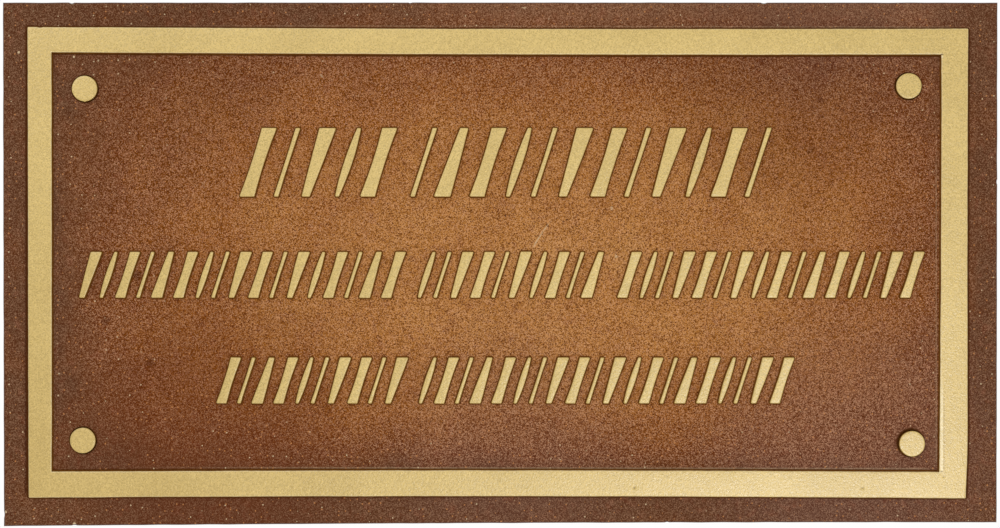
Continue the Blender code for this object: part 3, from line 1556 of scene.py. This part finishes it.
class Speckle(Effect):
    """Fine sprayed grain: every droplet a little lighter or darker than its neighbours."""

    name = "sprayed speckle"
    inputs = {"Place": (0.0, 0.0, 0.0)}
    outputs = ("Grain", "Light", "Dark")
    droplet = 0.3  # a droplet's size in millimetres
    softness = 0.7  # how much fine noise is mixed in
    noise_size = 0.4

    def lay(self, wiring: Wiring, given: Any) -> dict[str, bpy.types.NodeSocket]:
        """Mixes random cells of a droplet's size with fine noise.

        Args:
            wiring: Where the nodes go.
            given: The group's inputs.

        Returns:
            The grain, 0 to 1, and how far it is above and below its middle, both 0 to 1.
        """
        place = given["Place"]
        cells = wiring.cells(place, self.droplet)
        draw = wiring.add("ShaderNodeSeparateColor", {0: cells.outputs["Color"]}).outputs[0]
        fine = wiring.math("SUBTRACT", wiring.noise(place, self.noise_size, 1.0), 0.5)
        grain = wiring.math("ADD", draw, wiring.math("MULTIPLY", fine, self.softness))
        light = wiring.math("MULTIPLY", wiring.math("SUBTRACT", grain, 0.5), 2.0, clamp=True)
        dark = wiring.math("MULTIPLY", wiring.math("SUBTRACT", 0.5, grain), 2.0, clamp=True)
        return {"Grain": grain, "Light": light, "Dark": dark}


class SoftSpot(Effect):
    """A round mark with a soft edge at one place on the front."""

    name = "soft spot"
    inputs = {"Place": (0.0, 0.0, 0.0), "Centre": (0.0, 0.0, 0.0), "Radius": 1.0, "Strength": 1.0}
    outputs = ("Mask",)

    def lay(self, wiring: Wiring, given: Any) -> dict[str, bpy.types.NodeSocket]:
        """Measures how far a place is from the mark's centre, seen from in front.

        Args:
            wiring: Where the nodes go.
            given: The group's inputs.

        Returns:
            The mask, 0 to 1.
        """
        apart = wiring.vector("SUBTRACT", given["Place"], given["Centre"])
        away = wiring.measure("LENGTH", wiring.vector("MULTIPLY", apart, (1, 0, 1)))
        ragged = wiring.math("SUBTRACT", wiring.noise(given["Place"], 0.9), 0.5)
        away = wiring.math("ADD", away, wiring.math("MULTIPLY", ragged, given["Radius"]))
        inner = wiring.math("MULTIPLY", given["Radius"], 0.3)
        mask = wiring.remap(away, given["Radius"], inner)
        return {"Mask": wiring.math("MULTIPLY", mask, given["Strength"])}


class ScratchLine(Effect):
    """A thin, slightly bowed line that fades towards both ends."""

    name = "scratch line"
    inputs = {
        "Place": (0.0, 0.0, 0.0),
        "Middle": (0.0, 0.0, 0.0),
        "Along": (1.0, 0.0, 0.0),
        "Aside": (0.0, 0.0, 1.0),
        "Half Length": 1.0,
        "Half Width": 0.3,
        "Bow": 0.0,
        "End Fade": 0.45,
        "Strength": 1.0,
    }
    outputs = ("Mask",)

    def lay(self, wiring: Wiring, given: Any) -> dict[str, bpy.types.NodeSocket]:
        """Measures how far a place is along the line and beside it.

        Args:
            wiring: Where the nodes go.
            given: The group's inputs.

        Returns:
            The mask, 0 to 1.
        """
        apart = wiring.vector("SUBTRACT", given["Place"], given["Middle"])
        travelled = wiring.measure("DOT_PRODUCT", apart, given["Along"])
        along = wiring.math("DIVIDE", travelled, given["Half Length"])
        rest = wiring.math("SUBTRACT", 1.0, wiring.math("MULTIPLY", along, along))
        bowed = wiring.math("MULTIPLY", given["Bow"], rest)
        aside = wiring.math("SUBTRACT", wiring.measure("DOT_PRODUCT", apart, given["Aside"]), bowed)
        off = wiring.math("DIVIDE", wiring.math("ABSOLUTE", aside), given["Half Width"])
        thin = wiring.remap(off, 1.0, 0.25)
        full_to = wiring.math("SUBTRACT", 1.0, given["End Fade"])
        far_end, near_end = wiring.remap(along, 1.0, full_to), wiring.remap(along, -1.0, -0.3)
        ends = wiring.math("MULTIPLY", far_end, near_end)
        broken = wiring.remap(wiring.noise(given["Place"], 0.8), 0.3, 0.6, 0.45, 1.0)
        mask = wiring.math("MULTIPLY", wiring.math("MULTIPLY", thin, ends), broken)
        return {"Mask": wiring.math("MULTIPLY", mask, given["Strength"])}


class SatinGrain(Effect):
    """The fine sandy grain of a rolled satin paint, with slow changes of tone."""

    name = "satin grain"
    inputs = {"Place": (0.0, 0.0, 0.0)}
    outputs = ("Tone", "Grain", "Height")
    cell_size = 0.45  # these sizes are in millimetres
    fine_size = 0.65
    tone_size = 30.0
    cell_share = 0.6

    def lay(self, wiring: Wiring, given: Any) -> dict[str, bpy.types.NodeSocket]:
        """Mixes slow noise, random cells and fine noise.

        Args:
            wiring: Where the nodes go.
            given: The group's inputs.

        Returns:
            The slow tone, the fine grain and a height, all about 0 to 1.
        """
        place = given["Place"]
        cells = wiring.cells(place, self.cell_size)
        draw = wiring.add("ShaderNodeSeparateColor", {0: cells.outputs["Color"]}).outputs[1]
        fine = wiring.noise(place, self.fine_size, 2.0, 0.6)
        coarse_part = wiring.math("MULTIPLY", draw, self.cell_share)
        fine_part = wiring.math("MULTIPLY", fine, 1 - self.cell_share)
        grain = wiring.math("ADD", coarse_part, fine_part)
        return {"Tone": wiring.noise(place, self.tone_size, 2.0), "Grain": grain, "Height": fine}


@dataclass(frozen=True)
class Spot:
    """A soft round mark: where it is, in millimetres from the middle, its radius and strength."""

    across: float
    up: float
    radius: float
    strength: float


@dataclass(frozen=True)
class Scratch:
    """A thin line between two places, in millimetres from the middle."""

    start: tuple[float, float]
    end: tuple[float, float]
    half_width: float
    strength: float
    bow: float = 0
    end_fade: float = 0.45


class Marks:
    """Puts named spots and scratches together into one mask."""

    def __init__(self, wiring: Wiring, place: bpy.types.NodeSocket) -> None:
        """Keeps where the nodes go and the place that they read."""
        self.wiring = wiring
        self.place = place

    def together(self, marks: Sequence[Spot | Scratch]) -> Value:
        """Gives the strongest of the marks at each place.

        Args:
            marks: The marks.

        Returns:
            One mask, 0 to 1.
        """
        mask: Value = 0.0
        for mark in marks:
            one = self.spot(mark) if isinstance(mark, Spot) else self.scratch(mark)
            mask = self.wiring.math("MAXIMUM", one, mask)
        return mask

    def spot(self, mark: Spot) -> bpy.types.NodeSocket:
        """Works out one spot's mask.

        Args:
            mark: The spot.

        Returns:
            Its mask, 0 to 1.
        """
        centre = (mark.across, 0, mark.up)
        node = self.wiring.effect(
            SoftSpot(), place=self.place, centre=centre, radius=mark.radius, strength=mark.strength
        )
        return node.outputs["Mask"]

    def scratch(self, mark: Scratch) -> bpy.types.NodeSocket:
        """Works out one scratch's mask.

        Args:
            mark: The scratch.

        Returns:
            Its mask, 0 to 1.
        """
        start, end = Vector(mark.start), Vector(mark.end)
        way = (end - start).normalized()
        middle = (start + end) / 2
        node = self.wiring.effect(
            ScratchLine(),
            place=self.place,
            middle=(middle.x, 0, middle.y),
            along=(way.x, 0, way.y),
            aside=(-way.y, 0, way.x),
            half_length=(end - start).length / 2,
            half_width=mark.half_width,
            bow=mark.bow,
            end_fade=mark.end_fade,
            strength=mark.strength,
        )
        return node.outputs["Mask"]


Started = tuple[bpy.types.Material, Wiring, bpy.types.Node]  # a material, its wiring, its shader


@dataclass(frozen=True)
class Finish:
    """What every finish shares: its name, and how its shader starts."""

    name: str

    def begin(self, roughness: float, metallic: float = 0, gloss: float = 0.5) -> Started:
        """Starts a material.

        Args:
            roughness: The shader's plain roughness.
            metallic: The shader's plain metallic value.
            gloss: The shader's plain specular level.

        Returns:
            The material, where its nodes go, and its shader.
        """
        made = bpy.data.materials.new(self.name)
        made.use_nodes = True
        shader = made.node_tree.nodes["Principled BSDF"]
        shader.inputs["Roughness"].default_value = roughness
        shader.inputs["Metallic"].default_value = metallic
        shader.inputs["Specular IOR Level"].default_value = gloss
        return made, Wiring(made.node_tree), shader

    @staticmethod
    def bump(wiring: Wiring, shader: bpy.types.Node, height: Value, depth: float) -> None:
        """Gives the shader a fine relief of about this depth."""
        node = wiring.add("ShaderNodeBump", {"Height": height, "Distance": depth, "Strength": 1.0})
        wiring.put(shader.inputs["Normal"], node.outputs["Normal"])


@dataclass(frozen=True)
class Drops:
    """Round drops scattered by chance.

    Attributes:
        apart: About how far they are from each other, in millimetres.
        radius: Their radius, in millimetres.
        share: How many of the places for a drop have one.
        strength: How well they cover.
    """

    apart: float
    radius: float
    share: float
    strength: float

    def mask(self, wiring: Wiring, place: Value) -> bpy.types.NodeSocket:
        """Lays the drops.

        Args:
            wiring: Where the nodes go.
            place: The place on the piece.

        Returns:
            Their mask, 0 to 1.
        """
        cells = wiring.flat_cells(place, self.apart)
        draw = wiring.add("ShaderNodeSeparateColor", {0: cells.outputs["Color"]}).outputs
        middle = self.radius / self.apart
        size = wiring.remap(draw[1], 0.0, 1.0, middle * 0.6, middle * 1.4)
        core = wiring.math("MULTIPLY", size, 0.6)
        round_drop = wiring.remap(cells.outputs["Distance"], size, core)
        there = wiring.math("LESS_THAN", draw[0], self.share)
        return wiring.math("MULTIPLY", wiring.math("MULTIPLY", round_drop, there), self.strength)


@dataclass(frozen=True)
class SprayedGround(Finish):
    """Speckled brown paint, airbrushed from tan in the middle to a dark brown at the sides.

    Attributes:
        tones: The paint's colours, from where the fade is 0 to where it is 1.
        grey_and_sheen_spots: Where the colour is greyer; the spot at the lower right is painted sheen.
        dimmed: Where it is darker.
        lower_left_deep: Where it is a deeper, more even brown.
        strip: Where the border at the top is paler.
        light_shares: How strongly the speckle lightens, at the sides and inside.
        dark_shares: How strongly the speckle darkens, at the sides and inside.
    """

    tones: tuple[tuple[float, Colour], ...] = (
        (0.0, linear(96, 60, 36)),
        (0.25, linear(119, 62, 15)),
        (0.5, linear(151, 88, 25)),
        (0.75, linear(183, 121, 54)),
        (1.0, linear(206, 150, 84)),
    )
    pink: Colour = linear(144, 84, 58)
    fleck: Colour = linear(240, 188, 150)
    pepper: Colour = linear(80, 29, 0)
    speck: Colour = linear(58, 20, 6)
    cream: Colour = linear(226, 200, 160)
    orange: Colour = linear(206, 140, 84)
    grey_sheen: Colour = linear(122, 88, 78)
    deep_brown: Colour = linear(98, 40, 10)
    pale: Colour = linear(158, 110, 78)
    # the colour of the painted shadow beside each wall's foot
    foot_shade: Colour = linear(80, 40, 3)
    roughness: float = 0.62
    gloss: float = 0.05
    grain_depth: float = 0.05 * MM
    cloud_size: float = 16.0
    cloud_share: float = 0.35
    mottle_size: float = 3.4
    mottle_share: float = 0.3
    sides_end: float = 0.3  # the fade at which the shares below reach their second values
    light_shares: tuple[float, float] = (0.22, 0.42)
    dark_shares: tuple[float, float] = (0.7, 0.96)
    orange_drops: Drops = Drops(2.3, 0.27, 0.3, 0.7)
    cream_drops: Drops = Drops(4.6, 0.25, 0.25, 1.0)
    grey_and_sheen_spots: tuple[Spot, ...] = (
        # painted sheen at the lower right
        Spot(136, -74, 74, 0.36),
        Spot(125, 106, 60, 0.24),
        Spot(5, -70, 60, 0.26),
    )
    dimmed: tuple[Spot, ...] = (Spot(108, 72, 62, 0.22), Spot(-125, 76, 50, 0.14))
    lower_left_deep: Spot = Spot(-112, -71, 73, 0.35)
    strip: Scratch = Scratch((-70.0, 98.0), (180.0, 98.0), 9.0, 0.42, end_fade=0.2)
    blotches: tuple[Spot, ...] = (
        Spot(-139.1, -4.8, 2.6, 0.45),
        Spot(-151.4, -22.1, 2.2, 0.35),
        Spot(-134.2, -38.2, 2.6, 0.35),
        Spot(119.0, 43.2, 2.8, 0.4),
        Spot(122.8, 62.3, 2.4, 0.4),
        Spot(123.6, 56.6, 1.8, 0.4),
    )
    specks: tuple[Spot, ...] = (
        Spot(2.0, 18.2, 0.6, 0.8),
        Spot(3.5, 18.2, 0.5, 0.8),
        Spot(25.8, 16.7, 0.5, 0.8),
        Spot(24.2, 15.9, 0.4, 0.7),
        Spot(11.6, 20.9, 0.5, 0.7),
        Spot(21.2, 20.9, 0.4, 0.7),
        Spot(9.3, 14.8, 0.5, 0.7),
    )
    # Painted shadows beside the band: a line below the top leg's inner edge and a wide one outside the left
    # leg.
    shadow_lines: tuple[Scratch, ...] = (
        Scratch((-172.0, 79.5), (168.5, 79.3), 0.3, 0.4, end_fade=0.02),
        Scratch((-181.9, 89.6), (-181.9, -89.6), 0.85, 0.7, end_fade=0.02),
    )
    chips_and_light_fringes: tuple[Spot | Scratch, ...] = (
        Spot(-163.6, 79.2, 0.55, 0.9),
        Spot(-184.8, 80.9, 0.6, 0.8),
        Spot(-154.2, 77.7, 0.4, 0.7),
        Spot(-156.1, 72.3, 0.4, 0.7),
        Spot(-188.5, 87.3, 0.4, 0.6),
        Spot(-164.2, 99.7, 0.7, 1.0),
        Spot(101.0, 99.8, 0.8, 0.8),
        Spot(-163.4, -100.2, 0.8, 1.0),
        Spot(-189.8, -95.5, 0.8, 0.8),
        Spot(42.8, 21.1, 0.9, 0.4),
        Spot(44.6, 2.6, 0.9, 0.4),
        Scratch((20.0, 16.9), (12.2, 5.2), 0.38, 0.6, -0.3),
        Scratch((-69.2, 72.6), (-68.0, 71.2), 0.35, 0.7),
        Scratch((8.0, 98.2), (10.0, 97.8), 0.3, 0.7),
        # Painted highlights: pale lines on the ground along the foot of the band's bottom, top and right
        # legs.
        Scratch((-162.0, -78.4), (168.0, -78.9), 0.45, 0.22, end_fade=0.05),
        Scratch((-178.0, 91.2), (178.0, 90.6), 0.4, 0.14, end_fade=0.05),
        Scratch((167.4, 70.0), (167.4, -79.0), 0.3, 0.2, end_fade=0.05),
    )

    def build(self) -> bpy.types.Material:
        """Lays the finish's nodes.

        Returns:
            The material.
        """
        made, wiring, shader = self.begin(self.roughness, gloss=self.gloss)
        place = wiring.place()
        marks = Marks(wiring, place)
        colour, speckle = self.paint(wiring, place)
        # Dark marks, the painted shadow lines beside the band among them.
        dark = marks.together([*self.specks, *self.blotches, *self.dimmed, *self.shadow_lines])
        colour = wiring.blend(dark, colour, self.speck)
        # Painted shadow: the ground darkens towards the foot of every wall.
        foot_shade = wiring.remap(wiring.attribute(FOOT_SHADE), 0.0, 0.7, 0.0, 0.9)
        colour = wiring.blend(foot_shade, colour, self.foot_shade)
        # Cream chips and scratches, and the painted highlight lines along the band's foot.
        colour = wiring.blend(marks.together(self.chips_and_light_fringes), colour, self.cream)
        wiring.put(shader.inputs["Base Color"], colour)
        grain = speckle.outputs["Grain"]
        rough = wiring.remap(grain, 0.0, 1.0, self.roughness - 0.08, self.roughness + 0.1)
        wiring.put(shader.inputs["Roughness"], rough)
        self.bump(wiring, shader, grain, self.grain_depth)
        return made

    def paint(
        self, wiring: Wiring, place: bpy.types.NodeSocket
    ) -> tuple[bpy.types.NodeSocket, bpy.types.Node]:
        """Lays the sprayed colour without its marks.

        Args:
            wiring: Where the nodes go.
            place: The place on the piece.

        Returns:
            The colour, and the speckle.
        """
        fade = wiring.effect(Airbrush(), place=place).outputs["Fade"]
        cloud = wiring.math("SUBTRACT", wiring.noise(place, self.cloud_size, 3.0), 0.5)
        clouded = wiring.math("MULTIPLY", cloud, self.cloud_share)
        fade = wiring.math("ADD", fade, clouded, clamp=True)
        ramp = wiring.add("ShaderNodeValToRGB", {0: fade})
        points = ramp.color_ramp.elements
        while len(points) < len(self.tones):
            points.new(0.5)
        for point, (at, colour) in zip(points, self.tones, strict=True):
            point.position = at
            point.color = (*colour, 1)
        marks = Marks(wiring, place)
        # Greyer spots; the one at the lower right is painted sheen.
        colour = wiring.blend(marks.together(self.grey_and_sheen_spots), ramp.outputs["Color"], self.grey_sheen)
        colour = wiring.blend(marks.scratch(self.strip), colour, self.pale)
        clumps = wiring.noise(place, self.mottle_size, 2.0)
        mottle = wiring.remap(clumps, 0.52, 0.75, 0.0, self.mottle_share)
        colour = wiring.blend(mottle, colour, self.pink)
        speckle = wiring.effect(Speckle(), place=place)
        shares = ((self.light_shares, "Light", self.fleck), (self.dark_shares, "Dark", self.pepper))
        for (at_sides, inside), side, tint in shares:
            strength = wiring.remap(fade, 0.0, self.sides_end, at_sides, inside)
            grain = wiring.math("MULTIPLY", speckle.outputs[side], strength)
            colour = wiring.blend(grain, colour, tint)
        # Deeper, more even brown towards the lower left.
        colour = wiring.blend(marks.spot(self.lower_left_deep), colour, self.deep_brown)
        colour = wiring.blend(self.orange_drops.mask(wiring, place), colour, self.orange)
        outer = wiring.remap(fade, 0.5, 0.2, 0.1, 0.8)
        cream = wiring.math("MULTIPLY", self.cream_drops.mask(wiring, place), outer)
        return wiring.blend(cream, colour, self.cream), speckle


@dataclass(frozen=True)
class ShadedWall(Finish):
    """The walls' dark brown: their paint, made darker as painted shade for the shadow in the creases beside
    every raised face.
    """

    deep: Colour = linear(86, 42, 0)
    high: Colour = linear(148, 97, 34)
    roughness: float = 0.65
    gloss: float = 0.05
    patch_size: float = 2.4
    grain_depth: float = 0.04 * MM

    def build(self) -> bpy.types.Material:
        """Lays the finish's nodes.

        Returns:
            The material.
        """
        made, wiring, shader = self.begin(self.roughness, gloss=self.gloss)
        place = wiring.place()
        speckle = wiring.effect(Speckle(), place=place)
        patchy = wiring.noise(place, self.patch_size, 2.0)
        share = wiring.math("MULTIPLY", wiring.math("ADD", patchy, speckle.outputs["Grain"]), 0.5)
        wiring.put(shader.inputs["Base Color"], wiring.blend(share, self.deep, self.high))
        rough = wiring.remap(patchy, 0.3, 0.7, self.roughness - 0.07, self.roughness + 0.1)
        wiring.put(shader.inputs["Roughness"], rough)
        self.bump(wiring, shader, speckle.outputs["Grain"], self.grain_depth)
        return made


@dataclass(frozen=True)
class SatinGold(Finish):
    """Satin gold paint on the raised faces, with painted light on their softened edges."""

    colour: Colour = linear(219, 188, 108)
    shade: Colour = linear(212, 181, 101)
    # the colour that the gold turns towards the lower left
    lower_left_tone: Colour = linear(146, 112, 52)
    # painted highlight on the softened edges; a darker colour given here makes it painted shade
    edge: Colour = linear(248, 230, 184)
    glint: Colour = linear(248, 230, 184)
    # the colour of dark spots in the dents and of painted shade along creases
    pit_and_crease_shade: Colour = linear(84, 56, 24)
    roughness: float = 0.31
    metallic: float = 0.02
    gloss: float = 1.0
    darkest_grain: float = 0.83
    lightest_grain: float = 1.17
    grain_depth: float = 0.1 * MM
    darker_lower_left: tuple[Spot, ...] = (Spot(-215, -150, 240, 0.14),)
    # dark spots in the dents, and painted shade along creases
    pits_and_crease_shade: tuple[Spot | Scratch, ...] = ()
    # painted highlights, in the glint colour
    painted_highlights: tuple[Spot | Scratch, ...] = ()

    def build(self) -> bpy.types.Material:
        """Lays the finish's nodes.

        Returns:
            The material.
        """
        made, wiring, shader = self.begin(self.roughness, self.metallic, self.gloss)
        place = wiring.place()
        marks = Marks(wiring, place)
        satin = wiring.effect(SatinGrain(), place=place)
        tone = wiring.remap(satin.outputs["Tone"], 0.3, 0.7)
        colour = wiring.blend(tone, self.shade, self.colour)
        grain = satin.outputs["Grain"]
        factor = wiring.remap(grain, 0.0, 1.0, self.darkest_grain, self.lightest_grain)
        colour = wiring.shaded(colour, factor)
        # Painted light on the softened edges, broken up by noise.
        edge_light = wiring.math("MULTIPLY", wiring.attribute(ARRIS), wiring.noise(place, 1.2))
        colour = wiring.blend(edge_light, colour, self.edge)
        # Darker towards the lower left.
        colour = wiring.blend(marks.together(self.darker_lower_left), colour, self.lower_left_tone)
        # Dark spots in the dents, and painted shade along creases.
        if self.pits_and_crease_shade:
            colour = wiring.blend(marks.together(self.pits_and_crease_shade), colour, self.pit_and_crease_shade)
        # Painted highlights.
        if self.painted_highlights:
            colour = wiring.blend(marks.together(self.painted_highlights), colour, self.glint)
        wiring.put(shader.inputs["Base Color"], colour)
        rough = wiring.remap(grain, 0.2, 0.8, self.roughness - 0.05, self.roughness + 0.07)
        wiring.put(shader.inputs["Roughness"], rough)
        self.bump(wiring, shader, satin.outputs["Height"], self.grain_depth)
        return made


@dataclass(frozen=True)
class RawResin(Finish):
    """The bare cast resin of the sides and the back, with overspray near the front.

    Attributes:
        sprayed_from: How far out the overspray starts, in millimetres.
        sprayed_to: How far out it covers everything.
        ragged_size: How wide the tongues of its edge are, in millimetres.
        ragged_reach: How far they reach.
    """

    sprayed_from: float
    sprayed_to: float
    resin: Colour = linear(206, 184, 152)
    spray: Colour = linear(88, 58, 42)
    shade: Colour = linear(178, 154, 122)
    ragged_size: float = 3.0
    ragged_reach: float = 3.0
    roughness: float = 0.7
    grain_depth: float = 0.08 * MM

    def build(self) -> bpy.types.Material:
        """Lays the finish's nodes.

        Returns:
            The material.
        """
        made, wiring, shader = self.begin(self.roughness)
        place = wiring.place()
        cloud = wiring.noise(place, 18.0, 4.0, 0.6)
        colour = wiring.blend(wiring.remap(cloud, 0.3, 0.7), self.resin, self.shade)
        fine = wiring.noise(place, 0.9, 2.0, 0.6)
        colour = wiring.shaded(colour, wiring.remap(fine, 0.25, 0.75, 0.9, 1.08))
        parts = wiring.add("ShaderNodeSeparateXYZ", {0: place}).outputs
        out = wiring.math("MULTIPLY", parts[1], -1.0)
        edge = wiring.math("SUBTRACT", wiring.noise(place, self.ragged_size, 3.0), 0.5)
        ragged = wiring.math("MULTIPLY", edge, self.ragged_reach)
        spray = wiring.remap(wiring.math("ADD", out, ragged), self.sprayed_from, self.sprayed_to)
        colour = wiring.blend(spray, colour, self.spray)
        wiring.put(shader.inputs["Base Color"], colour)
        wiring.put(shader.inputs["Roughness"], wiring.remap(fine, 0.2, 0.8, 0.62, 0.8))
        self.bump(wiring, shader, wiring.math("ADD", fine, cloud), self.grain_depth)
        return made


@dataclass(frozen=True)
class PaleFloor(Finish):
    """The studio's pale floor."""

    colour: Colour = (0.84, 0.835, 0.82)

    def build(self) -> bpy.types.Material:
        """Lays the finish's nodes.

        Returns:
            The material.
        """
        made, _, shader = self.begin(0.7)
        shader.inputs["Base Color"].default_value = (*self.colour, 1)
        return made


@dataclass(frozen=True)
class SoftLight:
    """A square soft light that faces the plaque.

    Attributes:
        name: Its name.
        place: Where it hangs.
        size: The length of its sides.
        power: Its power in watts.
    """

    name: str
    place: tuple[float, float, float]
    size: float
    power: float

    def build(self) -> None:
        """Hangs the light."""
        data = bpy.data.lights.new(self.name, "AREA")
        data.size = self.size
        data.energy = self.power
        light = bpy.data.objects.new(self.name, data)
        light.location = self.place
        light.rotation_euler = (-Vector(self.place)).to_track_quat("-Z", "Y").to_euler()
        light.visible_camera = False
        bpy.context.scene.collection.objects.link(light)


@dataclass(frozen=True)
class Studio:
    """The camera square in front of the plaque, the soft lights, the pale floor and the sky."""

    face_out: float
    photo_width: int = 1000
    photo_height: int = 528
    frame_width: float = 383.2 * MM
    distance: float = 0.9
    sensor: float = 36.0
    # The plaque's middle in the photograph, in pixels from the left and from the top
    middle_across: float = 500.1
    middle_down: float = 263.1
    floor_up: float = -0.9
    floor_size: float = 12.0
    sky: float = 0.5
    seen_sky: float = 1.0
    lights: tuple[SoftLight, ...] = (
        SoftLight("key light", (0.38, -1.8, -0.46), 0.28, 7.1),
        SoftLight("low light", (0.95, -1.35, -0.85), 0.35, 3.2),
        SoftLight("fill light", (-0.72, -1.5, 0.85), 0.9, 8.3),
    )

    def build(self) -> None:
        """Sets up camera, lights, floor and sky."""
        self.add_camera()
        for light in self.lights:
            light.build()
        self.add_floor()
        self.add_sky()

    def add_camera(self) -> None:
        """Places the camera so that the plaque lies in the frame as it does in the photograph."""
        data = bpy.data.cameras.new("camera")
        data.sensor_width = self.sensor
        data.lens = self.sensor * self.distance / self.frame_width
        data.clip_start = 0.01
        camera = bpy.data.objects.new("camera", data)
        pixel = self.frame_width / self.photo_width
        across = (self.photo_width / 2 - self.middle_across) * pixel
        up = (self.middle_down - self.photo_height / 2) * pixel
        camera.location = (across, -self.face_out - self.distance, up)
        camera.rotation_euler = (math.radians(90), 0, 0)
        bpy.context.scene.collection.objects.link(camera)
        bpy.context.scene.camera = camera

    def add_floor(self) -> None:
        """Lays the floor some way below the plaque, which hangs on a wall when it is used."""
        shape = bmesh.new()
        bmesh.ops.create_grid(shape, x_segments=1, y_segments=1, size=self.floor_size / 2)
        bmesh.ops.translate(shape, verts=shape.verts, vec=(0, 0, self.floor_up))
        data = bpy.data.meshes.new("floor")
        shape.to_mesh(data)
        shape.free()
        data.materials.append(PaleFloor("pale floor").build())
        floor = bpy.data.objects.new("floor", data)
        bpy.context.scene.collection.objects.link(floor)

    def add_sky(self) -> None:
        """Makes the even light that comes from all round, and the white that shows behind."""
        world = bpy.data.worlds.new("studio sky")
        world.use_nodes = True
        bpy.context.scene.world = world
        wiring = Wiring(world.node_tree)
        background = world.node_tree.nodes["Background"]
        background.inputs["Color"].default_value = (1, 0.995, 0.985, 1)
        seen = wiring.add("ShaderNodeLightPath").outputs["Is Camera Ray"]
        strength = wiring.remap(seen, 0.0, 1.0, self.sky, self.seen_sky)
        wiring.put(background.inputs["Strength"], strength)
        bpy.context.scene.view_settings.view_transform = "Standard"


def plaque_parts() -> tuple[Casting, list[ScrewCover]]:
    """Works out every size from the frame.

    Returns:
        The casting and the covers, not yet built.
    """
    relief, border, band_width = 1.5 * MM, Vector((10.5, 10)) * MM, Vector((9.5, 10)) * MM
    low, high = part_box(PLATE_NODE)
    face_out, ground_out = -low.y, -low.y - relief
    width, height = high.x - low.x, 2 * high.z  # the foot is out of square, so the top gives it
    band_centre = Vector((-0.78, 0.1)) * MM
    field_centre = band_centre + Vector((-0.6, 0.1)) * MM
    band_half = Vector((width, height)) / 2 - border
    field_half = band_half - band_width
    # Painted shadow round the sockets; round the bottom right one it is a wide crescent to the upper left.
    soft = FootShade(0.3 * MM, 0.05 * MM, 0.12 * MM, 0.2 * MM)
    deep = FootShade(0.75 * MM, 0.05 * MM, 1.05 * MM, 0.1 * MM)
    covers = [
        ScrewCover("cover_top_left", "screw_cover_top_left", spur_angle=math.radians(272)),
        ScrewCover("cover_top_right", "screw_cover_top_right"),
        ScrewCover("cover_bottom_left", "screw_cover_bottom_left"),
        ScrewCover("cover_bottom_right", "screw_cover_bottom_right"),
    ]
    clearance = 0.3 * MM
    sockets = [
        Socket(
            cover.place(),
            cover.radius() + clearance,
            cover.outs()[0] - clearance,
            deep if cover.node == "screw_cover_bottom_right" else soft,
        )
        for cover in covers
    ]
    casting = Casting(
        Blank(width, height, ground_out),
        Band(band_centre, band_half, field_centre, field_half),
        StrokeBlock(2 * field_half.x, field_centre + Vector((3.0, -1.2)) * MM),
        sockets,
        Relief(ground_out, face_out),
    )
    return casting, covers


def plaque_finishes() -> dict[Region, bpy.types.Material]:
    """Makes the finish of each region.

    Returns:
        The materials.
    """
    band_gold = SatinGold(
        "band gold",
        # Dark spots in the three dents of the bottom leg, and painted shade: fine crease lines beside the
        # filed slope and at the right leg's inner corners.
        pits_and_crease_shade=(
            Spot(51.5, -86.1, 0.5, 0.7),
            Spot(138.9, -86.1, 0.4, 0.6),
            Spot(170.0, -81.9, 0.35, 0.8),
            Scratch((170.1, -46.0), (170.1, -79.9), 0.24, 0.5, end_fade=0.05),
            Scratch((168.6, 79.95), (169.9, 79.95), 0.3, 0.9, end_fade=0.3),
            Scratch((168.6, -79.8), (169.7, -79.9), 0.3, 0.9, end_fade=0.3),
        ),
        # Painted highlights: the bright strip along the filed slope of the right leg's inner edge, and a
        # spot at its top.
        painted_highlights=(
            Spot(169.4, 79.0, 0.6, 0.9),
            Scratch((169.35, -40.0), (169.35, -79.9), 0.55, 0.75, end_fade=0.05),
        ),
    )
    finishes = {
        Region.WALL: ShadedWall("dark wall"),
        Region.BAND: band_gold,
        # the darker edge colour is painted shade on the softened edges of the strokes and the covers
        Region.STROKE: SatinGold("stroke gold", edge=linear(200, 170, 100)),
        Region.GROUND: SprayedGround("sprayed ground"),
        Region.SIDE: RawResin("sprayed sides", sprayed_from=-0.6, sprayed_to=1.2),
        Region.BACK: RawResin("resin back", sprayed_from=30, sprayed_to=31),
    }
    return {region: finish.build() for region, finish in finishes.items()}


def main() -> None:
    """Builds and dresses the plaque, then its studio."""
    logging.basicConfig(level=logging.INFO, format="%(name)s: %(message)s")
    casting, covers = plaque_parts()
    finishes = plaque_finishes()
    pieces = [casting.build(finishes)]
    pieces += [cover.build(finishes[Region.WALL], finishes[Region.STROKE]) for cover in covers]
    for piece in pieces:
        LOG.info("%s: %d faces", piece.name, len(piece.data.polygons))
    Studio(casting.relief.face_out).build()


if __name__ == "__main__":
    main()
